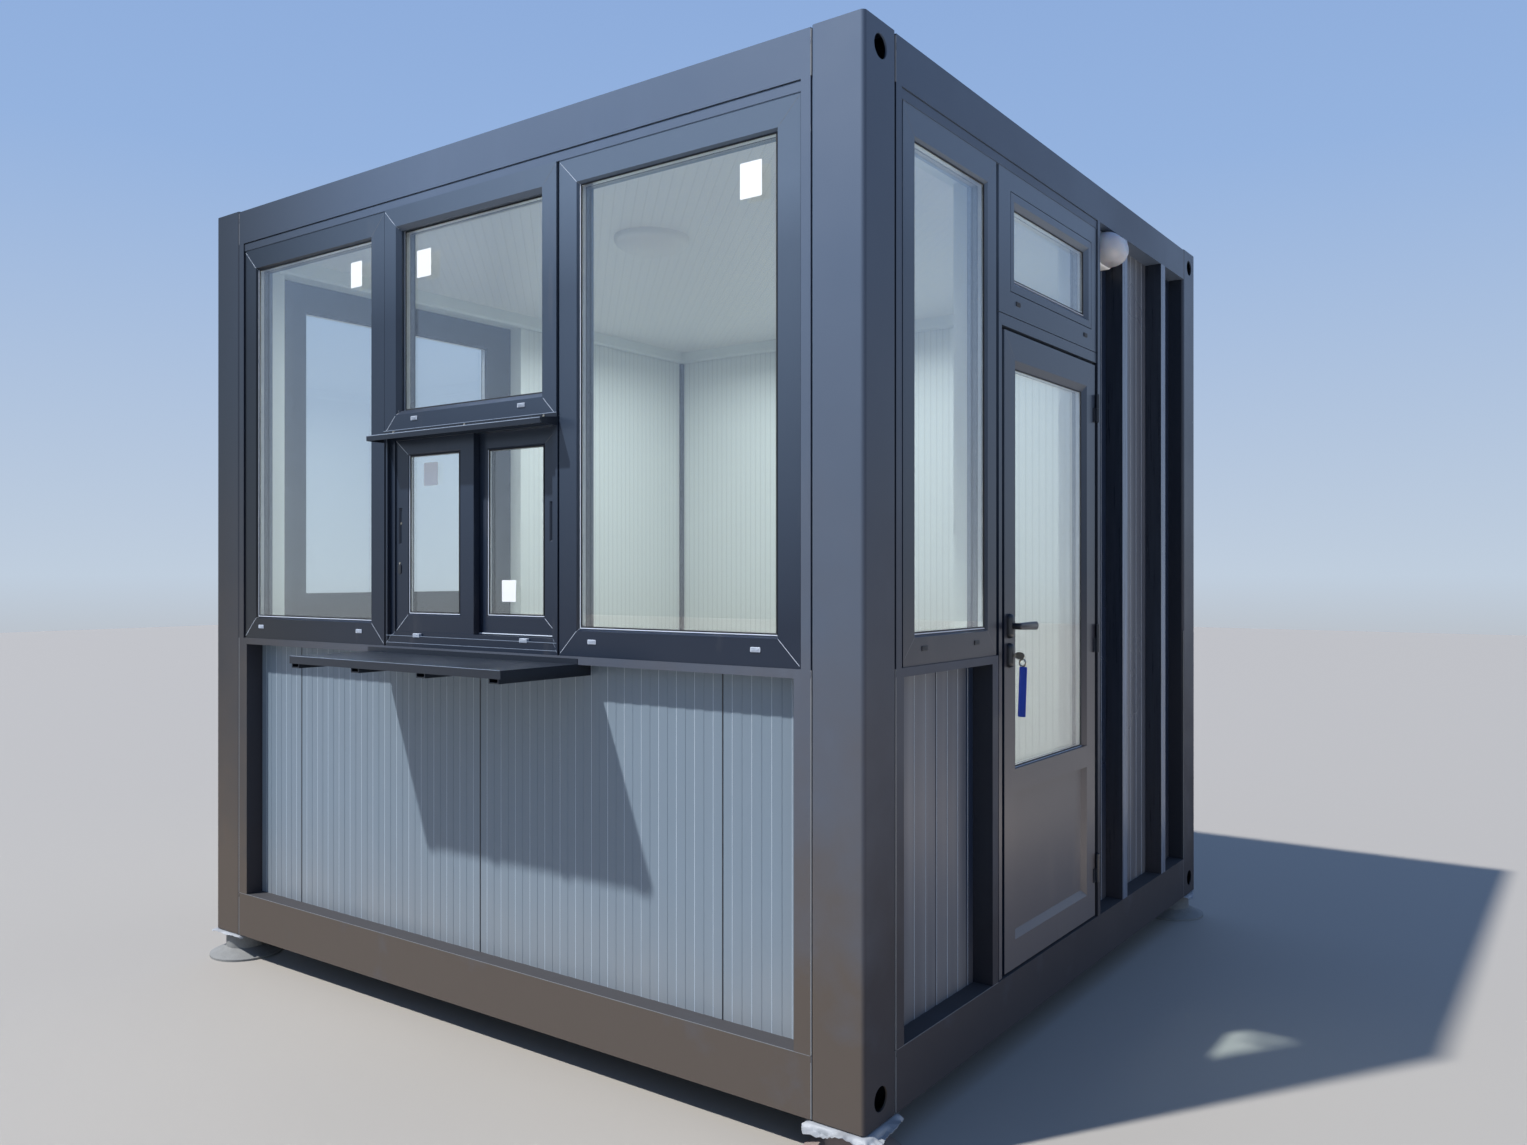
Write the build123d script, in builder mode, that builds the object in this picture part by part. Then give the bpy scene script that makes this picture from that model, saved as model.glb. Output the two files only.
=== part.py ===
"""A prefabricated security guard booth on four concrete pads, in millimetres.

+X is the wall with the door, -Y is the front wall with the sliding service window, +Z is up.
The origin is on the ground at the centre of the bounding box, which the shelf and pads set.
"""

import os

from build123d import *

# Overall size of the steel frame, outer face to outer face
WIDTH = 2970.0
DEPTH = 2840.0
POST_HEIGHT = 2800.0

# Corner posts with their lifting holes
POST = 160.0
POST_WALL = 5.0
POST_CORNER = 12.0
LIFT_R = 32.0
LIFT_INSET = 66.0

# Concrete pads and the soft packing sheet on each
PAD_OVERHANG = 55.0
PAD_HEIGHT = 92.0
PAD_R = 75.0
PAD_FLARE = 26.0
PAD_FOOT = 8.0
SHEET = 8.0
SHEET_OVERHANG = 25.0

# Beams of the base and of the roof
BASE_HEIGHT = 163.0
ROOF_BEAM_HEIGHT = 122.0
ROOF_DROP = 8.0
BEAM_DEPTH = 145.0
BEAM_WALL = 4.0

# Floor, ceiling and roof cover
DECK = 20.0
JOIST_WIDTH = 60.0
JOIST_HEIGHT = 100.0
JOIST_WALL = 4.0
JOIST_COUNT = 4
CEILING_THICK = 75.0
CEILING_LIP = 13.0
ROOF_SHEET = 4.0

# Sandwich panels of the walls and the thin posts before them
RECESS = 65.0
PANEL_THICK = 75.0
JOINT_PITCH = 1000.0
JOINT_START = 503.0
JOINT_WIDTH = 4.0
JOINT_DEPTH = 3.0

# Steel tubes round the windows
TUBE = 30.0
TUBE_WALL = 2.5
SILL_RAIL = 24.0
SIDE_ANGLE = 22.0
SIDE_ANGLE_RIGHT = 11.0
DOOR_STUD = 40.0
END_STUD = 26.0
BAY_POST = 55.0

# Windows: sill above the foot of the posts, and the header tube between the frames and the roof beam
WINDOW_SILL = 1150.0
HEADER = 30.0
HEADER_BACK = 3.0
HEADER_GAP = 3.0
HEADER_GAP_DEPTH = 8.0
WINDOW_HEAD = POST_HEIGHT - ROOF_DROP - ROOF_BEAM_HEIGHT - HEADER

# Window frames: face width, depth, how far the face lies behind the steel
FRAME_FACE = 83.0
FRAME_DEPTH = 70.0
FRAME_BACK = 5.0
FRAME_BEVEL = 7.0
GROOVE = 8.0
GROOVE_DEPTH = 22.0

# Double glazing: whole unit, one pane, the spacer round its edge, and how far it lies behind the frame
GLASS = 24.0
PANE = 4.0
SPACER = 12.0
GLASS_BACK = 10.0

# Front wall: widths of the left and the centre window
LEFT_WINDOW = 868.0
CENTRE_WINDOW = 838.0
UPPER_HEIGHT = 770.0
UPPER_BOTTOM = WINDOW_HEAD - UPPER_HEIGHT
UPPER_FACE = 79.0
UPPER_PROUD = 5.0
UPPER_GLASS_BACK = 28.0
BEAD_BEVEL = 14.0

# Sliding service window
SERVICE_JAMB = 38.0
SERVICE_BOTTOM = 50.0
SERVICE_STEP = 13.0
SERVICE_STEP_DEPTH = 4.0
TRACK_STEP = 37.0
TRACK_STEP_DEPTH = 12.0
SERVICE_TOP = 20.0
SASH_THICK = 24.0
SASH_LIP = 17.0
SASH_GAP = 2.0
SASH_STILE = 70.0
SASH_RAIL = 62.0
SASH_TOP = 54.0
SASH_BEVEL = 5.0
SASH_OVERLAP = 32.0
SASH_GLASS = 16.0
PULL_LENGTH = 115.0
PULL_WIDTH = 9.0
PULL_DEPTH = 6.0
PULL_HEIGHT = 300.0

# Drip cap over the service window
CAP_OUT = 70.0
CAP_LIP = 18.0
CAP_FALL = 8.0
CAP_SHEET = 2.0
CAP_BACK = 14.0

# Service shelf and its arms
SHELF_OUT = 300.0
SHELF_WIDTH = 1010.0
SHELF_LIP = 24.0
SHELF_SHEET = 2.0
SHELF_UPSTAND = 16.0
ARM_WIDTH = 40.0
ARM_HEIGHT = 36.0
ARM_WALL = 3.0
ARM_COUNT = 4
ARM_INSET = 8.0

# Right wall: fixed window, then the door unit with its transom light
SIDE_WINDOW = 595.0
DOOR_UNIT = 847.0
FRAME_SIDE_FACE = 70.0
SIDE_GROOVE = 15.0
FIRST_BAY = 239.0
LAST_BAY = 259.0

# Door frame, leaf and threshold
JAMB = 37.0
JAMB_HINGE = 8.0
JAMB_HINGE_BACK = 18.0
JAMB_DEPTH = 80.0
DOOR_GAP = 18.0
DOOR_GAP_TOP = 11.0
DOOR_GAP_HINGE = 8.0
DOOR_GAP_BOTTOM = 7.0
LEAF_THICK = 52.0
LEAF_STOP_GAP = 6.0
STOP_LAP = 10.0
STILE = 101.0
LEAF_TOP_RAIL = 106.0
LEAF_BOTTOM_RAIL = 110.0
MID_RAIL_BOTTOM = 713.0
MID_RAIL = 75.0
LEAF_BACK = 14.0
LEAF_BEAD = 22.0
LEAF_PANEL = 24.0
THRESHOLD_HEIGHT = 16.0

# Transom light over the door
TRANSOM_DROP = 372.0
TRANSOM_BOTTOM = WINDOW_HEAD - TRANSOM_DROP
TRANSOM_HEAD = 60.0
TRANSOM_LEFT = 100.0
TRANSOM_RIGHT = 50.0
TRANSOM_LIP = 15.0
TRANSOM_GAP = 3.0
TRANSOM_RAIL = 40.0
TRANSOM_BACK = 0.0
TRANSOM_THICK = 44.0
TRANSOM_BEVEL = 16.0

# Head of the doorway under the transom light, with the joint between the two units
DOOR_HEAD_RAIL = 112.0
DOOR_HEAD = TRANSOM_BOTTOM - DOOR_HEAD_RAIL
UNIT_JOINT_DROP = 77.0
UNIT_JOINT = 3.0
UNIT_JOINT_DEPTH = 6.0

# Hinges
HINGE_OUT = 8.0
HINGE_R = 7.0
HINGE_HEIGHT = 100.0
HINGE_PLATE = 3.0
HINGE_PLATE_WIDTH = 24.0
HINGE_SPLIT = 0.6
PIN_R = 3.5
PIN_CLEAR = 0.3
HINGE_FROM_FOOT = 340.0
HINGE_FROM_HEAD = 155.0

# Lever handle, its roses, and the lock below
BACKSET = 33.0
HANDLE_HEIGHT = 1235.0
LOCK_DROP = 90.0
ROSE_WIDTH = 32.0
ROSE_HEIGHT = 76.0
ROSE_THICK = 8.0
NECK_R = 8.0
NECK_CLEAR = 0.4
NECK_OUT = 38.0
LEVER_LENGTH = 128.0
LEVER_WIDTH = 20.0
LEVER_THICK = 13.0
LOCK_R = 8.5
LOCK_PROUD = 1.0

# Key in the lock with its ring and plain tag
KEY_OUT = 20.0
KEY_BOW = 22.0
KEY_BOW_CORNER = 6.0
TAG_LENGTH = 62.0
TAG_WIDTH = 17.0
TAG_THICK = 3.0

# Key blade, the hole in its bow and the ring that hangs from it
KEY_BLADE = 8.0
KEY_THICK = 2.5
KEY_HOLE = 6.0
KEY_HOLE_SHIFT = 4.0
RING_R = 15.0
RING_WIRE = 2.0

# Left wall window
LEFT_LIGHT = 1290.0
LEFT_SASH_FACE = 75.0
LEFT_SASH_FORWARD = 12.0

# Back wall
BACK_POSTS = 3

# Inside linings and cornice
LINING = 14.0
LINING_FACE = 8.0
LINING_HEAD = 43.0
CORNICE = 60.0
CORNICE_OUT = 26.0
CORNICE_BEVEL = 9.0

# Ceiling lamp and the bulkhead lamp beside the door
CEILING_LAMP_R = 140.0
CEILING_LAMP_HEIGHT = 60.0
CEILING_LAMP_FROM_RIGHT = 1420.0
CEILING_LAMP_FROM_FRONT = 830.0
WALL_LAMP_WIDTH = 180.0
WALL_LAMP_HEIGHT = 128.0
WALL_LAMP_CORNER = 58.0
WALL_LAMP_BASE = 35.0
WALL_LAMP_COVER = 72.0
WALL_LAMP_DROP = 68.0
WALL_LAMP_SIDE = 105.0
WALL_LAMP_RIM = 6.0
WALL_LAMP_SLOPE_IN = 24.0
WALL_LAMP_SLOPE_DEPTH = 34.0

# Places that follow from the sizes
LEFT = -WIDTH / 2
RIGHT = WIDTH / 2
FRONT = (SHELF_OUT - PAD_OVERHANG - DEPTH) / 2
BACK = FRONT + DEPTH
FOOT = PAD_HEIGHT + SHEET
TOP = FOOT + POST_HEIGHT
FLOOR = FOOT + BASE_HEIGHT
ROOF_TOP = TOP - ROOF_DROP
BEAM_UNDER = ROOF_TOP - ROOF_BEAM_HEIGHT
CEILING = BEAM_UNDER - CEILING_LIP
SILL = FOOT + WINDOW_SILL
HEAD = FOOT + WINDOW_HEAD
RAIL_UNDER = SILL - SILL_RAIL
OPEN_START = POST + TUBE
INNER_FACE = RECESS + PANEL_THICK
DOOR_START = OPEN_START + SIDE_WINDOW
DOOR_END = DOOR_START + DOOR_UNIT
BAY_START = DOOR_END + END_STUD
BAY_A = BAY_START + FIRST_BAY
BAY_B = DEPTH - POST - LAST_BAY - BAY_POST
LEFT_LIGHT_END = OPEN_START + LEFT_LIGHT

# Each wall from outside: x along it from its left end, y up, z outwards
FRONT_WALL = Plane(origin=(LEFT, FRONT, 0), x_dir=(1, 0, 0), z_dir=(0, -1, 0))
RIGHT_WALL = Plane(origin=(RIGHT, FRONT, 0), x_dir=(0, 1, 0), z_dir=(1, 0, 0))
BACK_WALL = Plane(origin=(RIGHT, BACK, 0), x_dir=(-1, 0, 0), z_dir=(0, 1, 0))
LEFT_WALL = Plane(origin=(LEFT, BACK, 0), x_dir=(0, -1, 0), z_dir=(-1, 0, 0))
POST_XS = (LEFT + POST / 2, RIGHT - POST / 2)
POST_YS = (FRONT + POST / 2, BACK - POST / 2)
POST_CENTRES = [(x, y) for x in POST_XS for y in POST_YS]


def slab(wall, u0, u1, z0, z1, near, far, mode=Mode.ADD):
    """A slab in a wall between two depths behind its outer face."""
    with BuildSketch(wall.offset(-near)) as outline:
        with Locations(((u0 + u1) / 2, (z0 + z1) / 2)):
            Rectangle(u1 - u0, z1 - z0)
    extrude(outline.sketch, amount=near - far, mode=mode)


def ring(wall, u0, u1, z0, z1, sides, near, far):
    """A rectangular frame; sides are its left, right, bottom and top widths."""
    left, right, bottom, top = sides
    with BuildSketch(wall.offset(-near)) as outline:
        with Locations(((u0 + u1) / 2, (z0 + z1) / 2)):
            Rectangle(u1 - u0, z1 - z0)
        with Locations(((u0 + left + u1 - right) / 2, (z0 + bottom + z1 - top) / 2)):
            Rectangle(u1 - u0 - left - right, z1 - z0 - bottom - top, mode=Mode.SUBTRACT)
    extrude(outline.sketch, amount=near - far)


def tube(plane, width, height, wall, length, corner=0.0):
    """A hollow section that runs along the plane's normal."""
    with BuildSketch(plane) as outline:
        if corner > 0:
            RectangleRounded(width, height, corner)
        else:
            Rectangle(width, height)
        Rectangle(width - 2 * wall, height - 2 * wall, mode=Mode.SUBTRACT)
    extrude(outline.sketch, amount=length)


def bevel_openings(part, wall, width, depth, flat=()):
    """Bevels the front inner edges of a frame, but none at the levels given as flat."""
    face = part.faces().sort_by(Axis((0, 0, 0), wall.z_dir))[-1]
    edges = [edge for wire in face.inner_wires() for edge in wire.edges()]
    kept = [edge for edge in edges if not any(abs((edge @ 0.5).Z - level) < 1 for level in flat)]
    chamfer(kept, width, depth)


def upright_tube(wall, u0, u1, z0, z1):
    """A hollow tube that stands in a wall, flush with its outer face."""
    slab(wall, u0, u1, z0, z1, 0, RECESS)
    slab(wall, u0 + TUBE_WALL, u1 - TUBE_WALL, z0, z1, TUBE_WALL, RECESS - TUBE_WALL, Mode.SUBTRACT)


def level_tube(wall, u0, u1, z0, z1, near):
    """A hollow tube that lies in a wall, some way behind its outer face."""
    slab(wall, u0, u1, z0, z1, near, RECESS)
    slab(wall, u0, u1, z0 + TUBE_WALL, z1 - TUBE_WALL, near + TUBE_WALL, RECESS - TUBE_WALL, Mode.SUBTRACT)


def header_tube(wall, u0, u1):
    """The tube over a window, with a thin open line between it and the roof beam."""
    level_tube(wall, u0, u1, HEAD, BEAM_UNDER - HEADER_GAP, HEADER_BACK)
    slab(wall, u0, u1, BEAM_UNDER - HEADER_GAP, BEAM_UNDER, HEADER_GAP_DEPTH, RECESS)


def double_pane(wall, u0, u1, z0, z1, near, far):
    """Both panes of a glazing unit."""
    slab(wall, u0, u1, z0, z1, near, near + PANE)
    slab(wall, u0, u1, z0, z1, far - PANE, far)


def spacer(wall, u0, u1, z0, z1, near, far):
    """The bar round the edge of a glazing unit, between its panes."""
    ring(wall, u0, u1, z0, z1, (SPACER,) * 4, near + PANE, far - PANE)


def save(part, name):
    part.label = name
    export_step(part, f"parts/{name}.step")


os.makedirs("parts", exist_ok=True)

# Corner posts: closed square tubes with a lifting hole near each end of the outer side
with BuildPart() as corner_posts:
    with BuildSketch(Plane.XY.offset(FOOT)):
        with Locations(*POST_CENTRES):
            RectangleRounded(POST, POST, POST_CORNER)
    extrude(amount=POST_HEIGHT)
    with BuildSketch(Plane.XY.offset(FOOT + POST_WALL)):
        with Locations(*POST_CENTRES):
            Rectangle(POST - 2 * POST_WALL, POST - 2 * POST_WALL)
    extrude(amount=POST_HEIGHT - 2 * POST_WALL, mode=Mode.SUBTRACT)
    lift_levels = (FOOT + LIFT_INSET, TOP - LIFT_INSET)
    lift_places = [(u, z) for u in (POST / 2, DEPTH - POST / 2) for z in lift_levels]
    for side in (RIGHT_WALL, LEFT_WALL):
        with BuildSketch(side):
            with Locations(*lift_places):
                Circle(LIFT_R)
        extrude(amount=-POST / 2, mode=Mode.SUBTRACT)
save(corner_posts.part, "corner_posts")


def perimeter_beams(base, height):
    """Four hollow beams between the posts, from the given level up."""
    middle = base + height / 2
    span_x = WIDTH - 2 * POST
    span_y = DEPTH - 2 * POST
    for y in (FRONT + BEAM_DEPTH / 2, BACK - BEAM_DEPTH / 2):
        start = Plane(origin=(LEFT + POST, y, middle), x_dir=(0, 1, 0), z_dir=(1, 0, 0))
        tube(start, BEAM_DEPTH, height, BEAM_WALL, span_x)
    for x in (LEFT + BEAM_DEPTH / 2, RIGHT - BEAM_DEPTH / 2):
        start = Plane(origin=(x, FRONT + POST, middle), x_dir=(-1, 0, 0), z_dir=(0, 1, 0))
        tube(start, BEAM_DEPTH, height, BEAM_WALL, span_y)


with BuildPart() as base_beams:
    perimeter_beams(FOOT, BASE_HEIGHT)
save(base_beams.part, "base_beams")

with BuildPart() as roof_beams:
    perimeter_beams(BEAM_UNDER, ROOF_BEAM_HEIGHT)
save(roof_beams.part, "roof_beams")

# Floor joists between the front and the back beam, under the deck
joist_span = WIDTH - 2 * BEAM_DEPTH
joist_pitch = joist_span / JOIST_COUNT
with BuildPart() as floor_joists:
    for index in range(JOIST_COUNT):
        x = LEFT + BEAM_DEPTH + joist_pitch * (index + 0.5)
        foot = (x, FRONT + BEAM_DEPTH, FLOOR - DECK - JOIST_HEIGHT / 2)
        start = Plane(origin=foot, x_dir=(-1, 0, 0), z_dir=(0, 1, 0))
        tube(start, JOIST_WIDTH, JOIST_HEIGHT, JOIST_WALL, DEPTH - 2 * BEAM_DEPTH)
save(floor_joists.part, "floor_joists")


def notched_slab(base, thick, inset):
    """A slab over the plan with its corners cut out round the posts."""
    with BuildSketch(Plane.XY.offset(base)) as outline:
        with Locations(((LEFT + RIGHT) / 2, (FRONT + BACK) / 2)):
            Rectangle(WIDTH - 2 * inset, DEPTH - 2 * inset)
        with Locations(*POST_CENTRES):
            Rectangle(POST, POST, mode=Mode.SUBTRACT)
    extrude(outline.sketch, amount=thick)


with BuildPart() as floor_deck:
    notched_slab(FLOOR - DECK, DECK, BEAM_DEPTH)
save(floor_deck.part, "floor_deck")

with BuildPart() as ceiling_panel:
    notched_slab(CEILING, CEILING_THICK, BEAM_DEPTH)
save(ceiling_panel.part, "ceiling_panel")

with BuildPart() as roof_sheet:
    notched_slab(ROOF_TOP, ROOF_SHEET, 0)
save(roof_sheet.part, "roof_sheet")

# Upright tubes beside the windows and the door, wider below the sill
with BuildPart() as window_studs:
    for wall, span, angle in ((FRONT_WALL, WIDTH, SIDE_ANGLE), (RIGHT_WALL, 0, SIDE_ANGLE_RIGHT)):
        upright_tube(wall, POST, OPEN_START, FLOOR, BEAM_UNDER)
        upright_tube(wall, OPEN_START, OPEN_START + angle, FLOOR, RAIL_UNDER)
        if span:
            upright_tube(wall, span - OPEN_START, span - POST, FLOOR, BEAM_UNDER)
            upright_tube(wall, span - OPEN_START - angle, span - OPEN_START, FLOOR, RAIL_UNDER)
    upright_tube(RIGHT_WALL, DOOR_START - DOOR_STUD, DOOR_START, FLOOR, RAIL_UNDER)
    upright_tube(RIGHT_WALL, DOOR_END, BAY_START, FLOOR, BEAM_UNDER)
    upright_tube(LEFT_WALL, DEPTH - OPEN_START, DEPTH - POST, FLOOR, BEAM_UNDER)
    left_start = DEPTH - LEFT_LIGHT_END
    upright_tube(LEFT_WALL, left_start - END_STUD, left_start, FLOOR, BEAM_UNDER)
save(window_studs.part, "window_studs")

# Rails under the windows and headers over them, between the upright tubes
with BuildPart() as window_rails:
    level_tube(FRONT_WALL, OPEN_START, WIDTH - OPEN_START, RAIL_UNDER, SILL, 0)
    header_tube(FRONT_WALL, OPEN_START, WIDTH - OPEN_START)
    level_tube(RIGHT_WALL, OPEN_START, DOOR_START, RAIL_UNDER, SILL, 0)
    header_tube(RIGHT_WALL, OPEN_START, DOOR_END)
    level_tube(LEFT_WALL, DEPTH - LEFT_LIGHT_END, DEPTH - OPEN_START, RAIL_UNDER, SILL, 0)
    header_tube(LEFT_WALL, DEPTH - LEFT_LIGHT_END, DEPTH - OPEN_START)
save(window_rails.part, "window_rails")

# Thin posts before the panels of the closed bays
back_pitch = (WIDTH - 2 * POST + BAY_POST) / (BACK_POSTS + 1)
with BuildPart() as bay_posts:
    for start in (BAY_A, BAY_B):
        upright_tube(RIGHT_WALL, start, start + BAY_POST, FLOOR, BEAM_UNDER)
        upright_tube(LEFT_WALL, DEPTH - start - BAY_POST, DEPTH - start, FLOOR, BEAM_UNDER)
    for index in range(BACK_POSTS):
        start = POST + back_pitch * (index + 1) - BAY_POST
        upright_tube(BACK_WALL, start, start + BAY_POST, FLOOR, BEAM_UNDER)
save(bay_posts.part, "bay_posts")


def panel(wall, u0, u1, z0, z1, joints):
    """A sandwich panel behind the steel, with the joints between its boards cut in."""
    slab(wall, u0, u1, z0, z1, RECESS, INNER_FACE)
    half = JOINT_WIDTH / 2
    for u in joints:
        if u0 + JOINT_WIDTH < u < u1 - JOINT_WIDTH:
            slab(wall, u - half, u + half, z0, z1, RECESS, RECESS + JOINT_DEPTH, Mode.SUBTRACT)


front_joints = [WIDTH - JOINT_START - JOINT_PITCH * index for index in range(3)]
side_joints = [JOINT_START + JOINT_PITCH * index for index in range(3)]

with BuildPart() as front_parapet_panel:
    panel(FRONT_WALL, POST, WIDTH - POST, FLOOR, SILL, front_joints)
save(front_parapet_panel.part, "front_parapet_panel")

with BuildPart() as right_wall_panels:
    panel(RIGHT_WALL, POST, DOOR_START, FLOOR, SILL, side_joints)
    panel(RIGHT_WALL, DOOR_END, DEPTH - POST, FLOOR, BEAM_UNDER, side_joints)
save(right_wall_panels.part, "right_wall_panels")

with BuildPart() as left_parapet_panel:
    panel(LEFT_WALL, DEPTH - LEFT_LIGHT_END, DEPTH - POST, FLOOR, SILL, [])
save(left_parapet_panel.part, "left_parapet_panel")

with BuildPart() as left_rear_panel:
    panel(LEFT_WALL, POST, DEPTH - LEFT_LIGHT_END, FLOOR, BEAM_UNDER, side_joints)
save(left_rear_panel.part, "left_rear_panel")

with BuildPart() as back_wall_panel:
    panel(BACK_WALL, POST, WIDTH - POST, FLOOR, BEAM_UNDER, front_joints)
save(back_wall_panel.part, "back_wall_panel")


def window_frame(wall, u0, u1, z0, z1, faces, start, depth, groove=GROOVE / 2):
    """A window profile frame with a shadow groove along both upright edges, the left one as wide as asked."""
    ring(wall, u0, u1, z0, z1, faces, start, start + depth)
    slab(wall, u0, u0 + groove, z0, z1, start, start + GROOVE_DEPTH, Mode.SUBTRACT)
    slab(wall, u1 - GROOVE / 2, u1, z0, z1, start, start + GROOVE_DEPTH, Mode.SUBTRACT)


four_faces = (FRAME_FACE,) * 4
centre_start = OPEN_START + LEFT_WINDOW
centre_end = centre_start + CENTRE_WINDOW
open_end = WIDTH - OPEN_START
upper = FOOT + UPPER_BOTTOM

with BuildPart() as front_left_frame:
    window_frame(FRONT_WALL, OPEN_START, centre_start, SILL, HEAD, four_faces, FRAME_BACK, FRAME_DEPTH)
    bevel_openings(front_left_frame.part, FRONT_WALL, FRAME_BEVEL, GLASS_BACK)
save(front_left_frame.part, "front_left_frame")

with BuildPart() as front_right_frame:
    window_frame(FRONT_WALL, centre_end, open_end, SILL, HEAD, four_faces, FRAME_BACK, FRAME_DEPTH)
    bevel_openings(front_right_frame.part, FRONT_WALL, FRAME_BEVEL, GLASS_BACK)
save(front_right_frame.part, "front_right_frame")

with BuildPart() as front_upper_sash:
    near = FRAME_BACK - UPPER_PROUD
    depth = FRAME_DEPTH + UPPER_PROUD
    upper_faces = (UPPER_FACE,) * 4
    window_frame(FRONT_WALL, centre_start, centre_end, upper, HEAD, upper_faces, near, depth)
    bevel_openings(front_upper_sash.part, FRONT_WALL, BEAD_BEVEL, BEAD_BEVEL)
save(front_upper_sash.part, "front_upper_sash")

glass_near = FRAME_BACK + GLASS_BACK
upper_glass_near = FRAME_BACK - UPPER_PROUD + UPPER_GLASS_BACK
front_lights = (
    (OPEN_START, centre_start, SILL, FRAME_FACE, glass_near),
    (centre_start, centre_end, upper, UPPER_FACE, upper_glass_near),
    (centre_end, open_end, SILL, FRAME_FACE, glass_near),
)
glazing = []
for start, end, low, face, near in front_lights:
    glazing.append((FRONT_WALL, start + face, end - face, low + face, HEAD - face, near, near + GLASS))
with BuildPart() as front_glass:
    for unit in glazing:
        double_pane(*unit)
save(front_glass.part, "front_glass")

# Service window: a frame and two sliding sashes on two tracks
with BuildPart() as service_frame:
    faces = (SERVICE_JAMB, SERVICE_JAMB, SERVICE_BOTTOM, SERVICE_TOP)
    window_frame(FRONT_WALL, centre_start, centre_end, SILL, upper, faces, FRAME_BACK, FRAME_DEPTH)
    for step, back in ((SERVICE_STEP, SERVICE_STEP_DEPTH), (TRACK_STEP, TRACK_STEP_DEPTH)):
        low = SILL + step
        side = SERVICE_STEP
        far = FRAME_BACK + back
        slab(FRONT_WALL, centre_start + side, centre_end - side, low, upper, FRAME_BACK, far, Mode.SUBTRACT)
save(service_frame.part, "service_frame")

track_start = centre_start + SERVICE_JAMB
track_end = centre_end - SERVICE_JAMB
sash_low = SILL + SERVICE_BOTTOM
sash_high = upper - SERVICE_TOP
sash_width = (track_end - track_start + SASH_OVERLAP) / 2
left_depth = FRAME_BACK + SASH_LIP
right_depth = left_depth + SASH_THICK + SASH_GAP


def sash(start, near, pull):
    """A sliding sash with a finger pull cut in one stile."""
    faces = (SASH_STILE, SASH_STILE, SASH_RAIL, SASH_TOP)
    ring(FRONT_WALL, start, start + sash_width, sash_low, sash_high, faces, near, near + SASH_THICK)
    half = PULL_WIDTH / 2
    low = sash_low + PULL_HEIGHT
    slab(FRONT_WALL, pull - half, pull + half, low, low + PULL_LENGTH, near, near + PULL_DEPTH, Mode.SUBTRACT)


with BuildPart() as service_sash_left:
    sash(track_start, left_depth, track_start + SASH_STILE / 3)
    bevel_openings(service_sash_left.part, FRONT_WALL, SASH_BEVEL, SASH_BEVEL)
save(service_sash_left.part, "service_sash_left")

with BuildPart() as service_sash_right:
    sash(track_end - sash_width, right_depth, track_end - SASH_STILE / 2)
    bevel_openings(service_sash_right.part, FRONT_WALL, SASH_BEVEL, SASH_BEVEL)
save(service_sash_right.part, "service_sash_right")

with BuildPart() as service_glass:
    for start, near in ((track_start, left_depth), (track_end - sash_width, right_depth)):
        inner = near + (SASH_THICK - SASH_GLASS) / 2
        sides = (start + SASH_STILE, start + sash_width - SASH_STILE)
        unit = (FRONT_WALL, *sides, sash_low + SASH_RAIL, sash_high - SASH_TOP, inner, inner + SASH_GLASS)
        glazing.append(unit)
        double_pane(*unit)
save(service_glass.part, "service_glass")

# Drip cap: a folded sheet with closed ends, on the face of the upper sash
cap_face = FRAME_BACK - UPPER_PROUD
with BuildPart() as drip_cap:
    cap_corner = (LEFT + centre_start, FRONT + cap_face, upper)
    side_plane = Plane(origin=cap_corner, x_dir=(0, -1, 0), z_dir=(-1, 0, 0))
    with BuildSketch(side_plane):
        with BuildLine():
            Polyline(
                (0, CAP_BACK),
                (0, -CAP_SHEET),
                (CAP_OUT - CAP_SHEET, -CAP_FALL - CAP_SHEET),
                (CAP_OUT - CAP_SHEET, -CAP_FALL - CAP_LIP),
                (CAP_OUT, -CAP_FALL - CAP_LIP),
                (CAP_OUT, -CAP_FALL),
                (CAP_SHEET, 0),
                (CAP_SHEET, CAP_BACK),
                close=True,
            )
        make_face()
    extrude(amount=-CENTRE_WINDOW)
    for offset in (0, CENTRE_WINDOW - CAP_SHEET):
        with BuildSketch(side_plane.offset(-offset)):
            with BuildLine():
                Polyline(
                    (0, 0),
                    (0, -CAP_FALL - CAP_LIP),
                    (CAP_OUT, -CAP_FALL - CAP_LIP),
                    (CAP_OUT, -CAP_FALL),
                    close=True,
                )
            make_face()
        extrude(amount=-CAP_SHEET)
save(drip_cap.part, "drip_cap")

# Service shelf: an inverted tray on arms that start at the wall panel
shelf_top = RAIL_UNDER + SHELF_SHEET
shelf_start = (centre_start + centre_end) / 2 - SHELF_WIDTH / 2
shelf_end = shelf_start + SHELF_WIDTH
with BuildPart() as service_shelf:
    slab(FRONT_WALL, shelf_start, shelf_end, shelf_top - SHELF_LIP, shelf_top, -SHELF_OUT, 0)
    inner_low = shelf_top - SHELF_LIP
    inner_high = shelf_top - SHELF_SHEET
    edge = SHELF_SHEET
    inside = (shelf_start + edge, shelf_end - edge, inner_low, inner_high)
    slab(FRONT_WALL, *inside, edge - SHELF_OUT, 0, Mode.SUBTRACT)
    slab(FRONT_WALL, shelf_start, shelf_end, inner_high, shelf_top + SHELF_UPSTAND, -SHELF_SHEET, 0)
save(service_shelf.part, "service_shelf")

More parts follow.
